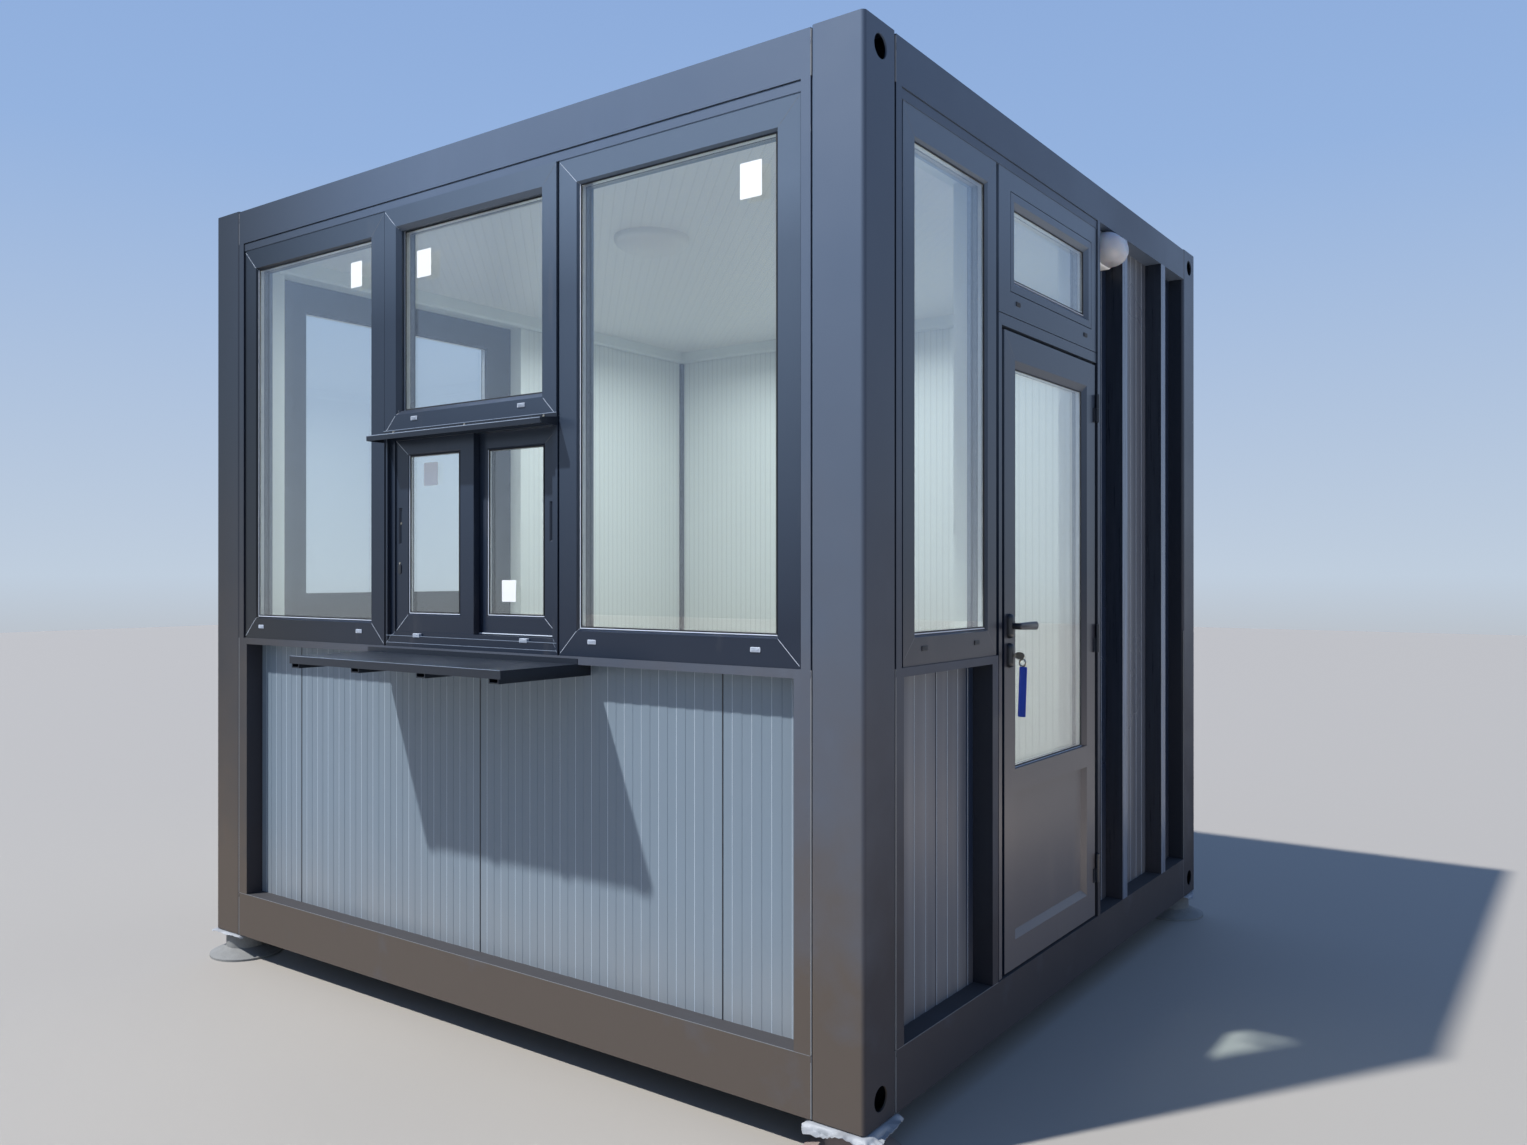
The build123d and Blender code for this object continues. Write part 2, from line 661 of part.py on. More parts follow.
arm_first = shelf_start + SHELF_SHEET + ARM_INSET
arm_pitch = (SHELF_WIDTH - 2 * SHELF_SHEET - 2 * ARM_INSET - ARM_WIDTH) / (ARM_COUNT - 1)
with BuildPart() as shelf_arms:
    for index in range(ARM_COUNT):
        x = LEFT + arm_first + ARM_WIDTH / 2 + arm_pitch * index
        z = shelf_top - SHELF_SHEET - ARM_HEIGHT / 2
        start = Plane(origin=(x, FRONT + RECESS, z), x_dir=(1, 0, 0), z_dir=(0, -1, 0))
        tube(start, ARM_WIDTH, ARM_HEIGHT, ARM_WALL, RECESS + SHELF_OUT - SHELF_SHEET)
save(shelf_arms.part, "shelf_arms")

# Fixed window of the right wall
side_faces = (SIDE_GROOVE + FRAME_SIDE_FACE, FRAME_SIDE_FACE, FRAME_FACE, FRAME_FACE)
right_span = (OPEN_START, DOOR_START, SILL, HEAD)
with BuildPart() as right_window_frame:
    window_frame(RIGHT_WALL, *right_span, side_faces, FRAME_BACK, FRAME_DEPTH, SIDE_GROOVE)
    bevel_openings(right_window_frame.part, RIGHT_WALL, FRAME_BEVEL, GLASS_BACK)
save(right_window_frame.part, "right_window_frame")

# Door unit: jambs with stops, head, and the transom light over it
leaf_near = FRAME_BACK
leaf_far = leaf_near + LEAF_THICK
stop_near = leaf_far + LEAF_STOP_GAP
door_head = FOOT + DOOR_HEAD
leaf_start = DOOR_START + JAMB + DOOR_GAP
leaf_end = DOOR_END - JAMB_HINGE - DOOR_GAP_HINGE
leaf_low = FLOOR + DOOR_GAP_BOTTOM
leaf_high = door_head - DOOR_GAP_TOP
transom_low = FOOT + TRANSOM_BOTTOM
transom_high = HEAD - TRANSOM_HEAD
transom_near = FRAME_BACK + TRANSOM_BACK
transom_far = transom_near + TRANSOM_THICK
light_start = DOOR_START + TRANSOM_LEFT
light_end = DOOR_END - TRANSOM_RIGHT
frame_far = FRAME_BACK + JAMB_DEPTH
unit_joint = transom_low - UNIT_JOINT_DROP
with BuildPart() as door_frame:
    slab(RIGHT_WALL, DOOR_START, DOOR_END, FLOOR, HEAD, FRAME_BACK, frame_far)
    doorway = (DOOR_START + JAMB, DOOR_END - JAMB_HINGE, FLOOR, door_head)
    slab(RIGHT_WALL, *doorway, FRAME_BACK, stop_near, Mode.SUBTRACT)
    stops = (leaf_start + STOP_LAP, leaf_end - STOP_LAP, FLOOR, leaf_high - STOP_LAP)
    slab(RIGHT_WALL, *stops, stop_near, frame_far, Mode.SUBTRACT)
    hinge_jamb = DOOR_END - JAMB_HINGE
    jamb_face = FRAME_BACK + JAMB_HINGE_BACK
    slab(RIGHT_WALL, hinge_jamb, DOOR_END, FLOOR, door_head, FRAME_BACK, jamb_face, Mode.SUBTRACT)
    slab(RIGHT_WALL, light_start, light_end, transom_low, transom_high, FRAME_BACK, transom_far, Mode.SUBTRACT)
    lip = TRANSOM_LIP
    light = (light_start + lip, light_end - lip, transom_low + lip, transom_high - lip)
    slab(RIGHT_WALL, *light, transom_far, frame_far, Mode.SUBTRACT)
    joint = (DOOR_START, DOOR_END, unit_joint, unit_joint + UNIT_JOINT)
    slab(RIGHT_WALL, *joint, FRAME_BACK, FRAME_BACK + UNIT_JOINT_DEPTH, Mode.SUBTRACT)
    groove_far = FRAME_BACK + GROOVE_DEPTH
    slab(RIGHT_WALL, DOOR_START, DOOR_START + SIDE_GROOVE, FLOOR, HEAD, FRAME_BACK, groove_far, Mode.SUBTRACT)
save(door_frame.part, "door_frame")

with BuildPart() as door_threshold:
    slab(RIGHT_WALL, *stops[:3], FLOOR + THRESHOLD_HEIGHT, stop_near, INNER_FACE)
save(door_threshold.part, "door_threshold")

sash_start = light_start + TRANSOM_GAP
sash_end = light_end - TRANSOM_GAP
transom_bottom = transom_low + TRANSOM_GAP
transom_top = transom_high - TRANSOM_GAP
with BuildPart() as transom_sash:
    rails = (TRANSOM_RAIL,) * 4
    ring(RIGHT_WALL, sash_start, sash_end, transom_bottom, transom_top, rails, transom_near, transom_far)
    bevel_openings(transom_sash.part, RIGHT_WALL, TRANSOM_BEVEL, TRANSOM_BEVEL)
save(transom_sash.part, "transom_sash")

# Left wall window: a frame with one large sash
left_a = DEPTH - LEFT_LIGHT_END
left_b = DEPTH - OPEN_START
with BuildPart() as left_window_frame:
    window_frame(LEFT_WALL, left_a, left_b, SILL, HEAD, four_faces, FRAME_BACK, FRAME_DEPTH)
save(left_window_frame.part, "left_window_frame")

left_in = FRAME_FACE
left_glass_near = FRAME_BACK + UPPER_GLASS_BACK
left_sash_near = left_glass_near - LEFT_SASH_FORWARD
left_sash_sides = (LEFT_SASH_FACE,) * 4
with BuildPart() as left_window_sash:
    far = FRAME_BACK + FRAME_DEPTH
    low, high = SILL + left_in, HEAD - left_in
    ring(LEFT_WALL, left_a + left_in, left_b - left_in, low, high, left_sash_sides, left_sash_near, far)
    bevel_openings(left_window_sash.part, LEFT_WALL, FRAME_BEVEL, FRAME_BEVEL)
save(left_window_sash.part, "left_window_sash")

# Glass of the right window, of the transom light and of the left window
right_edges = (OPEN_START + side_faces[0], DOOR_START - side_faces[1], SILL + FRAME_FACE, HEAD - FRAME_FACE)
rail = TRANSOM_RAIL
transom_edges = (sash_start + rail, sash_end - rail, transom_bottom + rail, transom_top - rail)
transom_glass_near = transom_near + TRANSOM_BEVEL
left_edge = left_in + LEFT_SASH_FACE
left_edges = (left_a + left_edge, left_b - left_edge, SILL + left_edge, HEAD - left_edge)
side_units = (
    (RIGHT_WALL, *right_edges, glass_near, glass_near + GLASS),
    (RIGHT_WALL, *transom_edges, transom_glass_near, transom_glass_near + GLASS),
    (LEFT_WALL, *left_edges, left_glass_near, left_glass_near + GLASS),
)
with BuildPart() as side_glass:
    for unit in side_units:
        double_pane(*unit)
save(side_glass.part, "side_glass")

with BuildPart() as glazing_spacers:
    for unit in (*glazing, *side_units):
        spacer(*unit)
save(glazing_spacers.part, "glazing_spacers")

# Door leaf: stiles and three rails, with a hole for the spindle and one for the lock
mid_low = FOOT + MID_RAIL_BOTTOM
mid_high = mid_low + MID_RAIL
pane_start = leaf_start + STILE
pane_end = leaf_end - STILE
panel_low = leaf_low + LEAF_BOTTOM_RAIL
glass_high = leaf_high - LEAF_TOP_RAIL
handle_u = leaf_start + BACKSET
handle_z = FOOT + HANDLE_HEIGHT
lock_z = handle_z - LOCK_DROP
with BuildPart() as door_leaf:
    slab(RIGHT_WALL, leaf_start, leaf_end, leaf_low, leaf_high, leaf_near, leaf_far)
    slab(RIGHT_WALL, pane_start, pane_end, panel_low, mid_low, leaf_near, leaf_far, Mode.SUBTRACT)
    slab(RIGHT_WALL, pane_start, pane_end, mid_high, glass_high, leaf_near, leaf_far, Mode.SUBTRACT)
    bevel_openings(door_leaf.part, RIGHT_WALL, LEAF_BEAD, LEAF_BACK, (mid_low, mid_high))
    with BuildSketch(RIGHT_WALL):
        with Locations((handle_u, handle_z)):
            Circle(NECK_R + NECK_CLEAR)
        with Locations((handle_u, lock_z)):
            Circle(LOCK_R)
    extrude(amount=-leaf_far, mode=Mode.SUBTRACT)
save(door_leaf.part, "door_leaf")

pane_near = leaf_near + LEAF_BACK
door_unit = (RIGHT_WALL, pane_start, pane_end, mid_high, glass_high, pane_near, pane_near + GLASS)
with BuildPart() as door_glass:
    double_pane(*door_unit)
save(door_glass.part, "door_glass")

with BuildPart() as door_spacer:
    spacer(*door_unit)
save(door_spacer.part, "door_spacer")

with BuildPart() as door_panel:
    slab(RIGHT_WALL, pane_start, pane_end, panel_low, mid_low, pane_near, pane_near + LEAF_PANEL)
save(door_panel.part, "door_panel")

# Hinges: the upper knuckle and pin stay on the jamb, the lower knuckle swings with the leaf
hinge_u = (leaf_end + DOOR_END - JAMB_HINGE) / 2
hinge_x = RIGHT - leaf_near + HINGE_OUT
hinge_y = FRONT + hinge_u
hinge_half = (HINGE_HEIGHT - HINGE_SPLIT) / 2
hinge_low = FOOT + HINGE_FROM_FOOT
hinge_high = leaf_high - HINGE_FROM_HEAD
hinge_levels = (hinge_low, (hinge_low + hinge_high) / 2, hinge_high)


def hinge_outline(side, face):
    """Knuckle, arm and plate of one half of a hinge; side is 1 towards the jamb and -1 towards the leaf."""
    with Locations((hinge_x, hinge_y)):
        Circle(HINGE_R)
    with Locations(((hinge_x + face) / 2, hinge_y + side * HINGE_R / 2)):
        Rectangle(hinge_x - face, HINGE_R)
    with Locations((face + HINGE_PLATE / 2, hinge_y + side * HINGE_PLATE_WIDTH / 2)):
        Rectangle(HINGE_PLATE, HINGE_PLATE_WIDTH)


with BuildPart() as hinge_jamb_parts:
    for level in hinge_levels:
        base = level + HINGE_SPLIT / 2
        with BuildSketch(Plane.XY.offset(base)):
            hinge_outline(1, RIGHT)
        extrude(amount=hinge_half)
        with BuildSketch(Plane.XY.offset(base)):
            with Locations((hinge_x, hinge_y)):
                Circle(PIN_R)
        extrude(amount=-hinge_half)
save(hinge_jamb_parts.part, "hinge_jamb_parts")

with BuildPart() as hinge_leaf_parts:
    for level in hinge_levels:
        base = level - HINGE_SPLIT / 2
        with BuildSketch(Plane.XY.offset(base)):
            hinge_outline(-1, RIGHT - leaf_near)
            with Locations((hinge_x, hinge_y)):
                Circle(PIN_R + PIN_CLEAR, mode=Mode.SUBTRACT)
        extrude(amount=-hinge_half)
save(hinge_leaf_parts.part, "hinge_leaf_parts")

# Oval roses under the lever and round the lock, on both faces of the leaf
leaf_faces = ((RIGHT_WALL.offset(-leaf_near), 1), (RIGHT_WALL.offset(-leaf_far), -1))
with BuildPart() as door_roses:
    for face, way in leaf_faces:
        with BuildSketch(face):
            with Locations((handle_u, handle_z), (handle_u, lock_z)):
                SlotOverall(ROSE_HEIGHT, ROSE_WIDTH, rotation=90)
            with Locations((handle_u, handle_z)):
                Circle(NECK_R + NECK_CLEAR, mode=Mode.SUBTRACT)
            with Locations((handle_u, lock_z)):
                Circle(LOCK_R, mode=Mode.SUBTRACT)
        extrude(amount=way * ROSE_THICK)
save(door_roses.part, "door_roses")

# Lock cylinder through the leaf
with BuildPart() as lock_cylinder:
    with BuildSketch(leaf_faces[0][0].offset(ROSE_THICK + LOCK_PROUD)):
        with Locations((handle_u, lock_z)):
            Circle(LOCK_R)
    extrude(amount=-(LEAF_THICK + 2 * ROSE_THICK + 2 * LOCK_PROUD))
save(lock_cylinder.part, "lock_cylinder")

# Lever handles of both sides on one spindle
with BuildPart() as handle_levers:
    with BuildSketch(RIGHT_WALL.offset(NECK_OUT - leaf_near)):
        with Locations((handle_u, handle_z)):
            Circle(NECK_R)
    extrude(amount=-(LEAF_THICK + 2 * NECK_OUT))
    for face, way in leaf_faces:
        with BuildSketch(face.offset(way * (NECK_OUT - LEVER_THICK / 2))):
            with Locations((handle_u + LEVER_LENGTH / 2 - LEVER_WIDTH / 2, handle_z)):
                SlotOverall(LEVER_LENGTH, LEVER_WIDTH)
        extrude(amount=way * LEVER_THICK)
save(handle_levers.part, "handle_levers")

# Key with its ring and a plain tag, hanging from the outer side of the lock
lock_x = RIGHT - leaf_near + ROSE_THICK + LOCK_PROUD
hole_x = lock_x + KEY_OUT + KEY_HOLE_SHIFT
with BuildPart() as door_key:
    with BuildSketch(Plane(origin=(0, FRONT + handle_u, lock_z), x_dir=(1, 0, 0), z_dir=(0, 1, 0))):
        with Locations((lock_x + KEY_OUT / 2, 0)):
            Rectangle(KEY_OUT, KEY_BLADE)
        with Locations((lock_x + KEY_OUT, 0)):
            bow = Rectangle(KEY_BOW, KEY_BOW)
            chamfer(bow.vertices(), KEY_BOW_CORNER)
        with Locations((hole_x, 0)):
            Circle(KEY_HOLE / 2, mode=Mode.SUBTRACT)
    extrude(amount=KEY_THICK / 2, both=True)
    with BuildSketch(Plane(origin=(hole_x, FRONT + handle_u, lock_z), x_dir=(0, 1, 0), z_dir=(1, 0, 0))):
        with Locations((0, -RING_R)):
            Circle(RING_R)
            Circle(RING_R - RING_WIRE, mode=Mode.SUBTRACT)
        with Locations((0, RING_WIRE / 2 - 2 * RING_R - TAG_LENGTH / 2)):
            Rectangle(TAG_WIDTH, TAG_LENGTH)
    extrude(amount=TAG_THICK / 2, both=True)
save(door_key.part, "door_key")

# Inside linings round the windows and the doorway
lining_near = FRAME_BACK + FRAME_DEPTH


def lining(wall, u0, u1, z0, z1, outer0, outer1, bottom):
    """Boards round an opening, with a flat face board against the room."""
    ring(wall, u0, u1, z0, z1, (LINING, LINING, bottom, LINING_HEAD), lining_near, INNER_FACE)
    sides = (u0 - outer0 + LINING, outer1 - u1 + LINING, SILL_RAIL + bottom, CEILING - z1 + LINING_HEAD)
    ring(wall, outer0, outer1, z0 - SILL_RAIL, CEILING, sides, INNER_FACE, INNER_FACE + LINING_FACE)


with BuildPart() as window_linings:
    lining(FRONT_WALL, OPEN_START, open_end, SILL, HEAD, POST, WIDTH - POST, LINING)
    lining(RIGHT_WALL, OPEN_START, DOOR_START, SILL, HEAD, POST, DOOR_START, LINING)
    lining(LEFT_WALL, left_a, left_b, SILL, HEAD, left_a - END_STUD, DEPTH - POST, LINING)
save(window_linings.part, "window_linings")

with BuildPart() as door_lining:
    slab(RIGHT_WALL, DOOR_START, DOOR_END, FLOOR, HEAD, frame_far, INNER_FACE)
    slab(RIGHT_WALL, DOOR_START, BAY_START, FLOOR, CEILING, INNER_FACE, INNER_FACE + LINING_FACE)
    cut_low, cut_high = FLOOR, HEAD - LINING_HEAD
    room = INNER_FACE + LINING_FACE
    slab(RIGHT_WALL, DOOR_START + LINING, DOOR_END - LINING, cut_low, cut_high, 0, room, Mode.SUBTRACT)
save(door_lining.part, "door_lining")

# Cornice between the ceiling and the walls
cornice_near = INNER_FACE + LINING_FACE
with BuildPart() as cornice:
    with BuildSketch(Plane.XY.offset(CEILING)):
        with Locations(((LEFT + RIGHT) / 2, (FRONT + BACK) / 2)):
            Rectangle(WIDTH - 2 * cornice_near, DEPTH - 2 * cornice_near)
            inner = cornice_near + CORNICE_OUT
            Rectangle(WIDTH - 2 * inner, DEPTH - 2 * inner, mode=Mode.SUBTRACT)
        with Locations(*POST_CENTRES):
            Rectangle(POST, POST, mode=Mode.SUBTRACT)
    extrude(amount=-CORNICE)
    low_inner = cornice.part.faces().sort_by(Axis.Z)[0].inner_wires()[0].edges()
    chamfer(low_inner, CORNICE_BEVEL)
save(cornice.part, "cornice")

# Ceiling lamp: a low round drum
lamp_x = RIGHT - CEILING_LAMP_FROM_RIGHT
lamp_y = FRONT + CEILING_LAMP_FROM_FRONT
with BuildPart() as ceiling_lamp:
    with BuildSketch(Plane.XY.offset(CEILING)):
        with Locations((lamp_x, lamp_y)):
            Circle(CEILING_LAMP_R)
    extrude(amount=-CEILING_LAMP_HEIGHT)
save(ceiling_lamp.part, "ceiling_lamp")

# Bulkhead lamp in the first bay beside the door: a base, then a cover whose sides slope in to its face
lamp_u = BAY_A - WALL_LAMP_SIDE
lamp_z = BEAM_UNDER - WALL_LAMP_DROP


def lamp_outline(plane, inset):
    """The lamp's round-cornered outline, drawn in from the base's edge."""
    with BuildSketch(plane) as outline:
        with Locations((lamp_u, lamp_z)):
            width = WALL_LAMP_WIDTH - 2 * inset
            height = WALL_LAMP_HEIGHT - 2 * inset
            RectangleRounded(width, height, WALL_LAMP_CORNER - inset)
    return outline.sketch


with BuildPart() as wall_lamp_base:
    extrude(lamp_outline(RIGHT_WALL.offset(-RECESS), 0), amount=WALL_LAMP_BASE)
save(wall_lamp_base.part, "wall_lamp_base")

with BuildPart() as wall_lamp_cover:
    extrude(lamp_outline(RIGHT_WALL.offset(WALL_LAMP_BASE - RECESS), WALL_LAMP_RIM), amount=WALL_LAMP_COVER)
    outer = wall_lamp_cover.faces().sort_by(Axis.X)[-1]
    chamfer(outer.edges(), WALL_LAMP_SLOPE_IN, WALL_LAMP_SLOPE_DEPTH)
save(wall_lamp_cover.part, "wall_lamp_cover")

# Concrete pads with flared feet, turned about their own axes
with BuildPart() as support_pads:
    foot_r = POST / 2 + PAD_OVERHANG
    for x, y in POST_CENTRES:
        with BuildSketch(Plane(origin=(x, y, 0), x_dir=(1, 0, 0), z_dir=(0, -1, 0))) as pad_section:
            with BuildLine():
                Polyline(
                    (0, 0),
                    (foot_r, 0),
                    (foot_r, PAD_FOOT),
                    (PAD_R, PAD_FOOT + PAD_FLARE),
                    (PAD_R, PAD_HEIGHT),
                    (0, PAD_HEIGHT),
                    close=True,
                )
            make_face()
        revolve(axis=Axis((x, y, 0), (0, 0, 1)))
save(support_pads.part, "support_pads")

# Soft packing sheets between the pads and the posts
with BuildPart() as packing_sheets:
    with BuildSketch(Plane.XY.offset(PAD_HEIGHT)):
        with Locations(*POST_CENTRES):
            Rectangle(POST + 2 * SHEET_OVERHANG, POST + 2 * SHEET_OVERHANG)
    extrude(amount=SHEET)
save(packing_sheets.part, "packing_sheets")
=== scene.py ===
"""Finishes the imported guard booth: materials, window fittings, lamps, packing sheets and stage."""

from math import atan2, pi, radians, sin

import bmesh
import bpy
from mathutils import Euler, Matrix, Vector, noise


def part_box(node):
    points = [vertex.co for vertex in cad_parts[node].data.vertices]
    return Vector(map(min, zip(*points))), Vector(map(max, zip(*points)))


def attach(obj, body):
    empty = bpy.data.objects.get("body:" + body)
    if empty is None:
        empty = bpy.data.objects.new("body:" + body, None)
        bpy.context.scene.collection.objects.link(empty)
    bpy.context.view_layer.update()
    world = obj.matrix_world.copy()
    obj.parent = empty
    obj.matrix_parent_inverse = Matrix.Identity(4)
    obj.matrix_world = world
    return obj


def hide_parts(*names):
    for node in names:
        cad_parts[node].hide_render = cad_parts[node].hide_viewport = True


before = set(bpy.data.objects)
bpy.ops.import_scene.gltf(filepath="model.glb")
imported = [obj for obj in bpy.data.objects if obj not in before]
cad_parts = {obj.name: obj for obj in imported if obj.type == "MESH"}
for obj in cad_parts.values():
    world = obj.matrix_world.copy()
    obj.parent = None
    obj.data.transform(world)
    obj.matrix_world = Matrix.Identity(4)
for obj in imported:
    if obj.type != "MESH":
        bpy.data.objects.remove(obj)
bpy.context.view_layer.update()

bl_info = {
    "name": "Guard Booth Finish",
    "version": (1, 0, 0),
    "blender": (4, 5, 0),
    "location": "View3D > Sidebar > Booth",
    "description": "Finishes, fittings and stage for a prefabricated guard booth",
    "category": "Object",
}

POSTS_LOW, POSTS_HIGH = (Vector(corner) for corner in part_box("corner_posts"))
LEFT, FRONT, FOOT = POSTS_LOW
RIGHT, BACK = POSTS_HIGH.xy
MM = 0.001
TOUCH = 1e-5             # Two heights that differ by less than this are one
FACING = 0.9             # A face looks along an axis when its normal has more than this of it

# Each wall as seen from outside: first along it from its left end, then up, then outwards
FRONT_WALL = Matrix(((1, 0, 0, LEFT), (0, 0, -1, FRONT), (0, 1, 0, 0), (0, 0, 0, 1)))
RIGHT_WALL = Matrix(((0, 0, 1, RIGHT), (1, 0, 0, FRONT), (0, 1, 0, 0), (0, 0, 0, 1)))
BACK_WALL = Matrix(((-1, 0, 0, RIGHT), (0, 0, 1, BACK), (0, 1, 0, 0), (0, 0, 0, 1)))
LEFT_WALL = Matrix(((0, 0, -1, LEFT), (-1, 0, 0, BACK), (0, 1, 0, 0), (0, 0, 0, 1)))

# Camera that was solved from the booth's edges in the photograph
PHOTO_WIDTH = 1527
SENSOR = 36.0
FOCAL_PIXELS = 1178.3
CAMERA_PLACE = (2.989, -3.813, 1.497)
CAMERA_PITCH = 0.05
CAMERA_YAW = 35.77


def colour_setting(name, description, default):
    """A colour that a user can change."""
    return bpy.props.FloatVectorProperty(
        name=name, description=description, subtype="COLOR", default=default)


def number_setting(name, description, default, unit="NONE"):
    """A number that a user can change."""
    return bpy.props.FloatProperty(name=name, description=description, default=default, unit=unit)


class BoothFinishSettings(bpy.types.PropertyGroup):
    """Colours of the booth's finishes."""

    steel: colour_setting("Steel", "Paint of the posts, beams and tubes", (0.058, 0.078, 0.112))
    profile: colour_setting("Profiles", "Foil on the window and door profiles", (0.007, 0.013, 0.027))
    panel: colour_setting("Panels outside", "Coating of the wall boards outside", (0.150, 0.195, 0.235))
    # The door side's boards get a far darker colour than the other boards: painted shade
    side_panel: colour_setting("Side panels", "Coating of the door side's boards", (0.014, 0.024, 0.048))
    inside: colour_setting("Panels inside", "Coating of the wall boards inside", (0.70, 0.74, 0.715))


class BoothPieceSettings(bpy.types.PropertyGroup):
    """Sizes of the small pieces."""

    rib_pitch: number_setting(
        "Rib pitch", "Distance between the raised bands of a board", 1.0 / 15.0, "LENGTH")
    rib_height: number_setting(
        "Rib height", "How far a raised band stands out of its board", 0.001, "LENGTH")
    near_sheet: number_setting(
        "Near packing sheet", "Side of the sheet under the near post", 0.235, "LENGTH")
    far_sheet: number_setting(
        "Other packing sheets", "Side of the sheets under the other posts", 0.19, "LENGTH")


class BoothStageSettings(bpy.types.PropertyGroup):
    """Floor, light and camera."""

    floor_colour: colour_setting("Floor", "Colour of the studio floor", (0.31, 0.285, 0.25))
    key_strength: number_setting("Key light", "Strength of the soft sun from the front left", 5.6)
    fill_power: number_setting(
        "Ground bounce", "Power of the low warm light on the door side", 85.0, "POWER")
    room_power: number_setting(
        "Room light", "Power of the soft light under the ceiling", 36.0, "POWER")
    sky_strength: number_setting("Surround", "Strength of the pale surround", 0.75)


def deselect():
    """Leaves nothing selected and no mesh in edit mode."""
    if bpy.context.object and bpy.context.object.mode == "EDIT":
        bpy.ops.object.mode_set(mode="OBJECT")
    bpy.ops.object.select_all(action="DESELECT")


def only(piece):
    """Makes one piece the active and only selected object."""
    deselect()
    piece.select_set(True)
    bpy.context.view_layer.objects.active = piece


def settle(piece):
    """Moves a piece's place, turn and scale into its mesh."""
    only(piece)
    bpy.ops.object.transform_apply(location=True, rotation=True, scale=True)
    return piece


def primitive(add, name, scale=(1.0, 1.0, 1.0), **settings):
    """A new piece from one of the basic shapes, placed and sized in its mesh."""
    deselect()
    add(**settings)
    piece = bpy.context.object
    piece.name = name
    piece.scale = scale
    return settle(piece)


def edit(piece):
    """Opens a piece for mesh editing."""
    only(piece)
    bpy.ops.object.mode_set(mode="EDIT")


def close():
    """Leaves mesh editing."""
    bpy.ops.object.mode_set(mode="OBJECT")


def pick(piece, kind, test):
    """In edit mode, selects the faces, edges or vertices that pass a test."""
    bpy.ops.mesh.select_mode(type=kind)
    bpy.ops.mesh.select_all(action="DESELECT")
    shape = bmesh.from_edit_mesh(piece.data)
    for item in {"FACE": shape.faces, "EDGE": shape.edges, "VERT": shape.verts}[kind]:
        if test(item):
            item.select_set(True)
    bmesh.update_edit_mesh(piece.data)


def pick_all():
    """In edit mode, selects the whole mesh."""
    bpy.ops.mesh.select_all(action="SELECT")


def face_outwards():
    """In edit mode, turns every face outwards."""
    pick_all()
    bpy.ops.mesh.normals_make_consistent(inside=False)


def extrude(rise):
    """Draws the picked faces out along z."""
    bpy.ops.mesh.extrude_region_move(TRANSFORM_OT_translate={"value": (0.0, 0.0, rise)})


def ease(width, steps):
    """Rounds the picked edges."""
    bpy.ops.mesh.bevel(offset=width, segments=steps, affect="EDGES")


def inset(width, depth=0.0, each=False):
    """Draws the picked faces in from their rims and moves them by a depth."""
    bpy.ops.mesh.inset(thickness=width, depth=depth, use_individual=each)


def level_at(height):
    """A test for edges that lie at a height."""
    return lambda line: all(abs(end.co.z - height) < TOUCH for end in line.verts)


def run_of(line):
    """An edge's length along x and along y."""
    run = line.verts[0].co - line.verts[1].co
    return abs(run.x), abs(run.y)


def smooth(piece, degrees=35.0):
    """Smooth shading that keeps the sharp edges."""
    only(piece)
    bpy.ops.object.shade_smooth_by_angle(angle=radians(degrees))
    return piece


def block(name, low, high, edge=0.0, steps=2):
    """A box between two corners with eased edges."""
    low, high = Vector(low), Vector(high)
    piece = primitive(bpy.ops.mesh.primitive_cube_add, name, high - low,
                      size=1.0, location=(low + high) / 2)
    if edge:
        edit(piece)
        pick_all()
        ease(edge, steps)
        close()
    return piece


def plate(name, centre, size, corner, thick, edge=0.0, steps=8):
    """A flat plate with round corners in the wall's plane, standing out by its thickness."""
    piece = primitive(bpy.ops.mesh.primitive_plane_add, name, (*size, 1.0), size=1.0, location=centre)
    edit(piece)
    pick_all()
    bpy.ops.mesh.bevel(offset=corner, segments=steps, affect="VERTICES")
    pick_all()
    extrude(thick)
    face_outwards()
    if edge:
        pick(piece, "EDGE", level_at(centre[2] + thick))
        ease(edge, 3)
    close()
    return piece


def ring(name, low, high, width, edge=0.0):
    """A flat rectangular ring between two corners in wall measures."""
    centre, size = outline(low, high)
    piece = primitive(bpy.ops.mesh.primitive_plane_add, name, (*size, 1.0),
                      size=1.0, location=(*centre, low.z))
    edit(piece)
    pick_all()
    inset(width)
    bpy.ops.mesh.delete(type="FACE")
    pick_all()
    extrude(high.z - low.z)
    face_outwards()
    if edge:
        on_top = level_at(high.z)
        pick(piece, "EDGE", lambda line: on_top(line) and min(run_of(line)) < TOUCH)
        ease(edge, 2)
    close()
    return piece


def swell(piece, centre, size, level, rise, steps, reach, power, way=1.0):
    """Draws a flat face out in steps, its outline closing along a curve as it climbs."""
    def closing(share):
        return min(size) / 2 * (1.0 - (1.0 - share ** power) ** (1.0 / power))

    edit(piece)
    for step in range(steps):
        before, share = step / steps * reach, (step + 1) / steps * reach
        at = level + way * rise * before
        pick(piece, "FACE", lambda face: face.normal.z * way > FACING
             and abs(face.calc_center_median().z - at) < TOUCH)
        extrude(way * rise * (share - before))
        shrink = [(side / 2 - closing(share)) / (side / 2 - closing(before)) for side in size]
        bpy.ops.transform.resize(value=(*shrink, 1.0), center_override=(*centre, 0.0))
    close()
    return piece


def stand_on(piece, wall):
    """Turns a piece that was made flat in wall measures up onto its wall."""
    piece.matrix_world = wall @ piece.matrix_world
    return settle(piece)


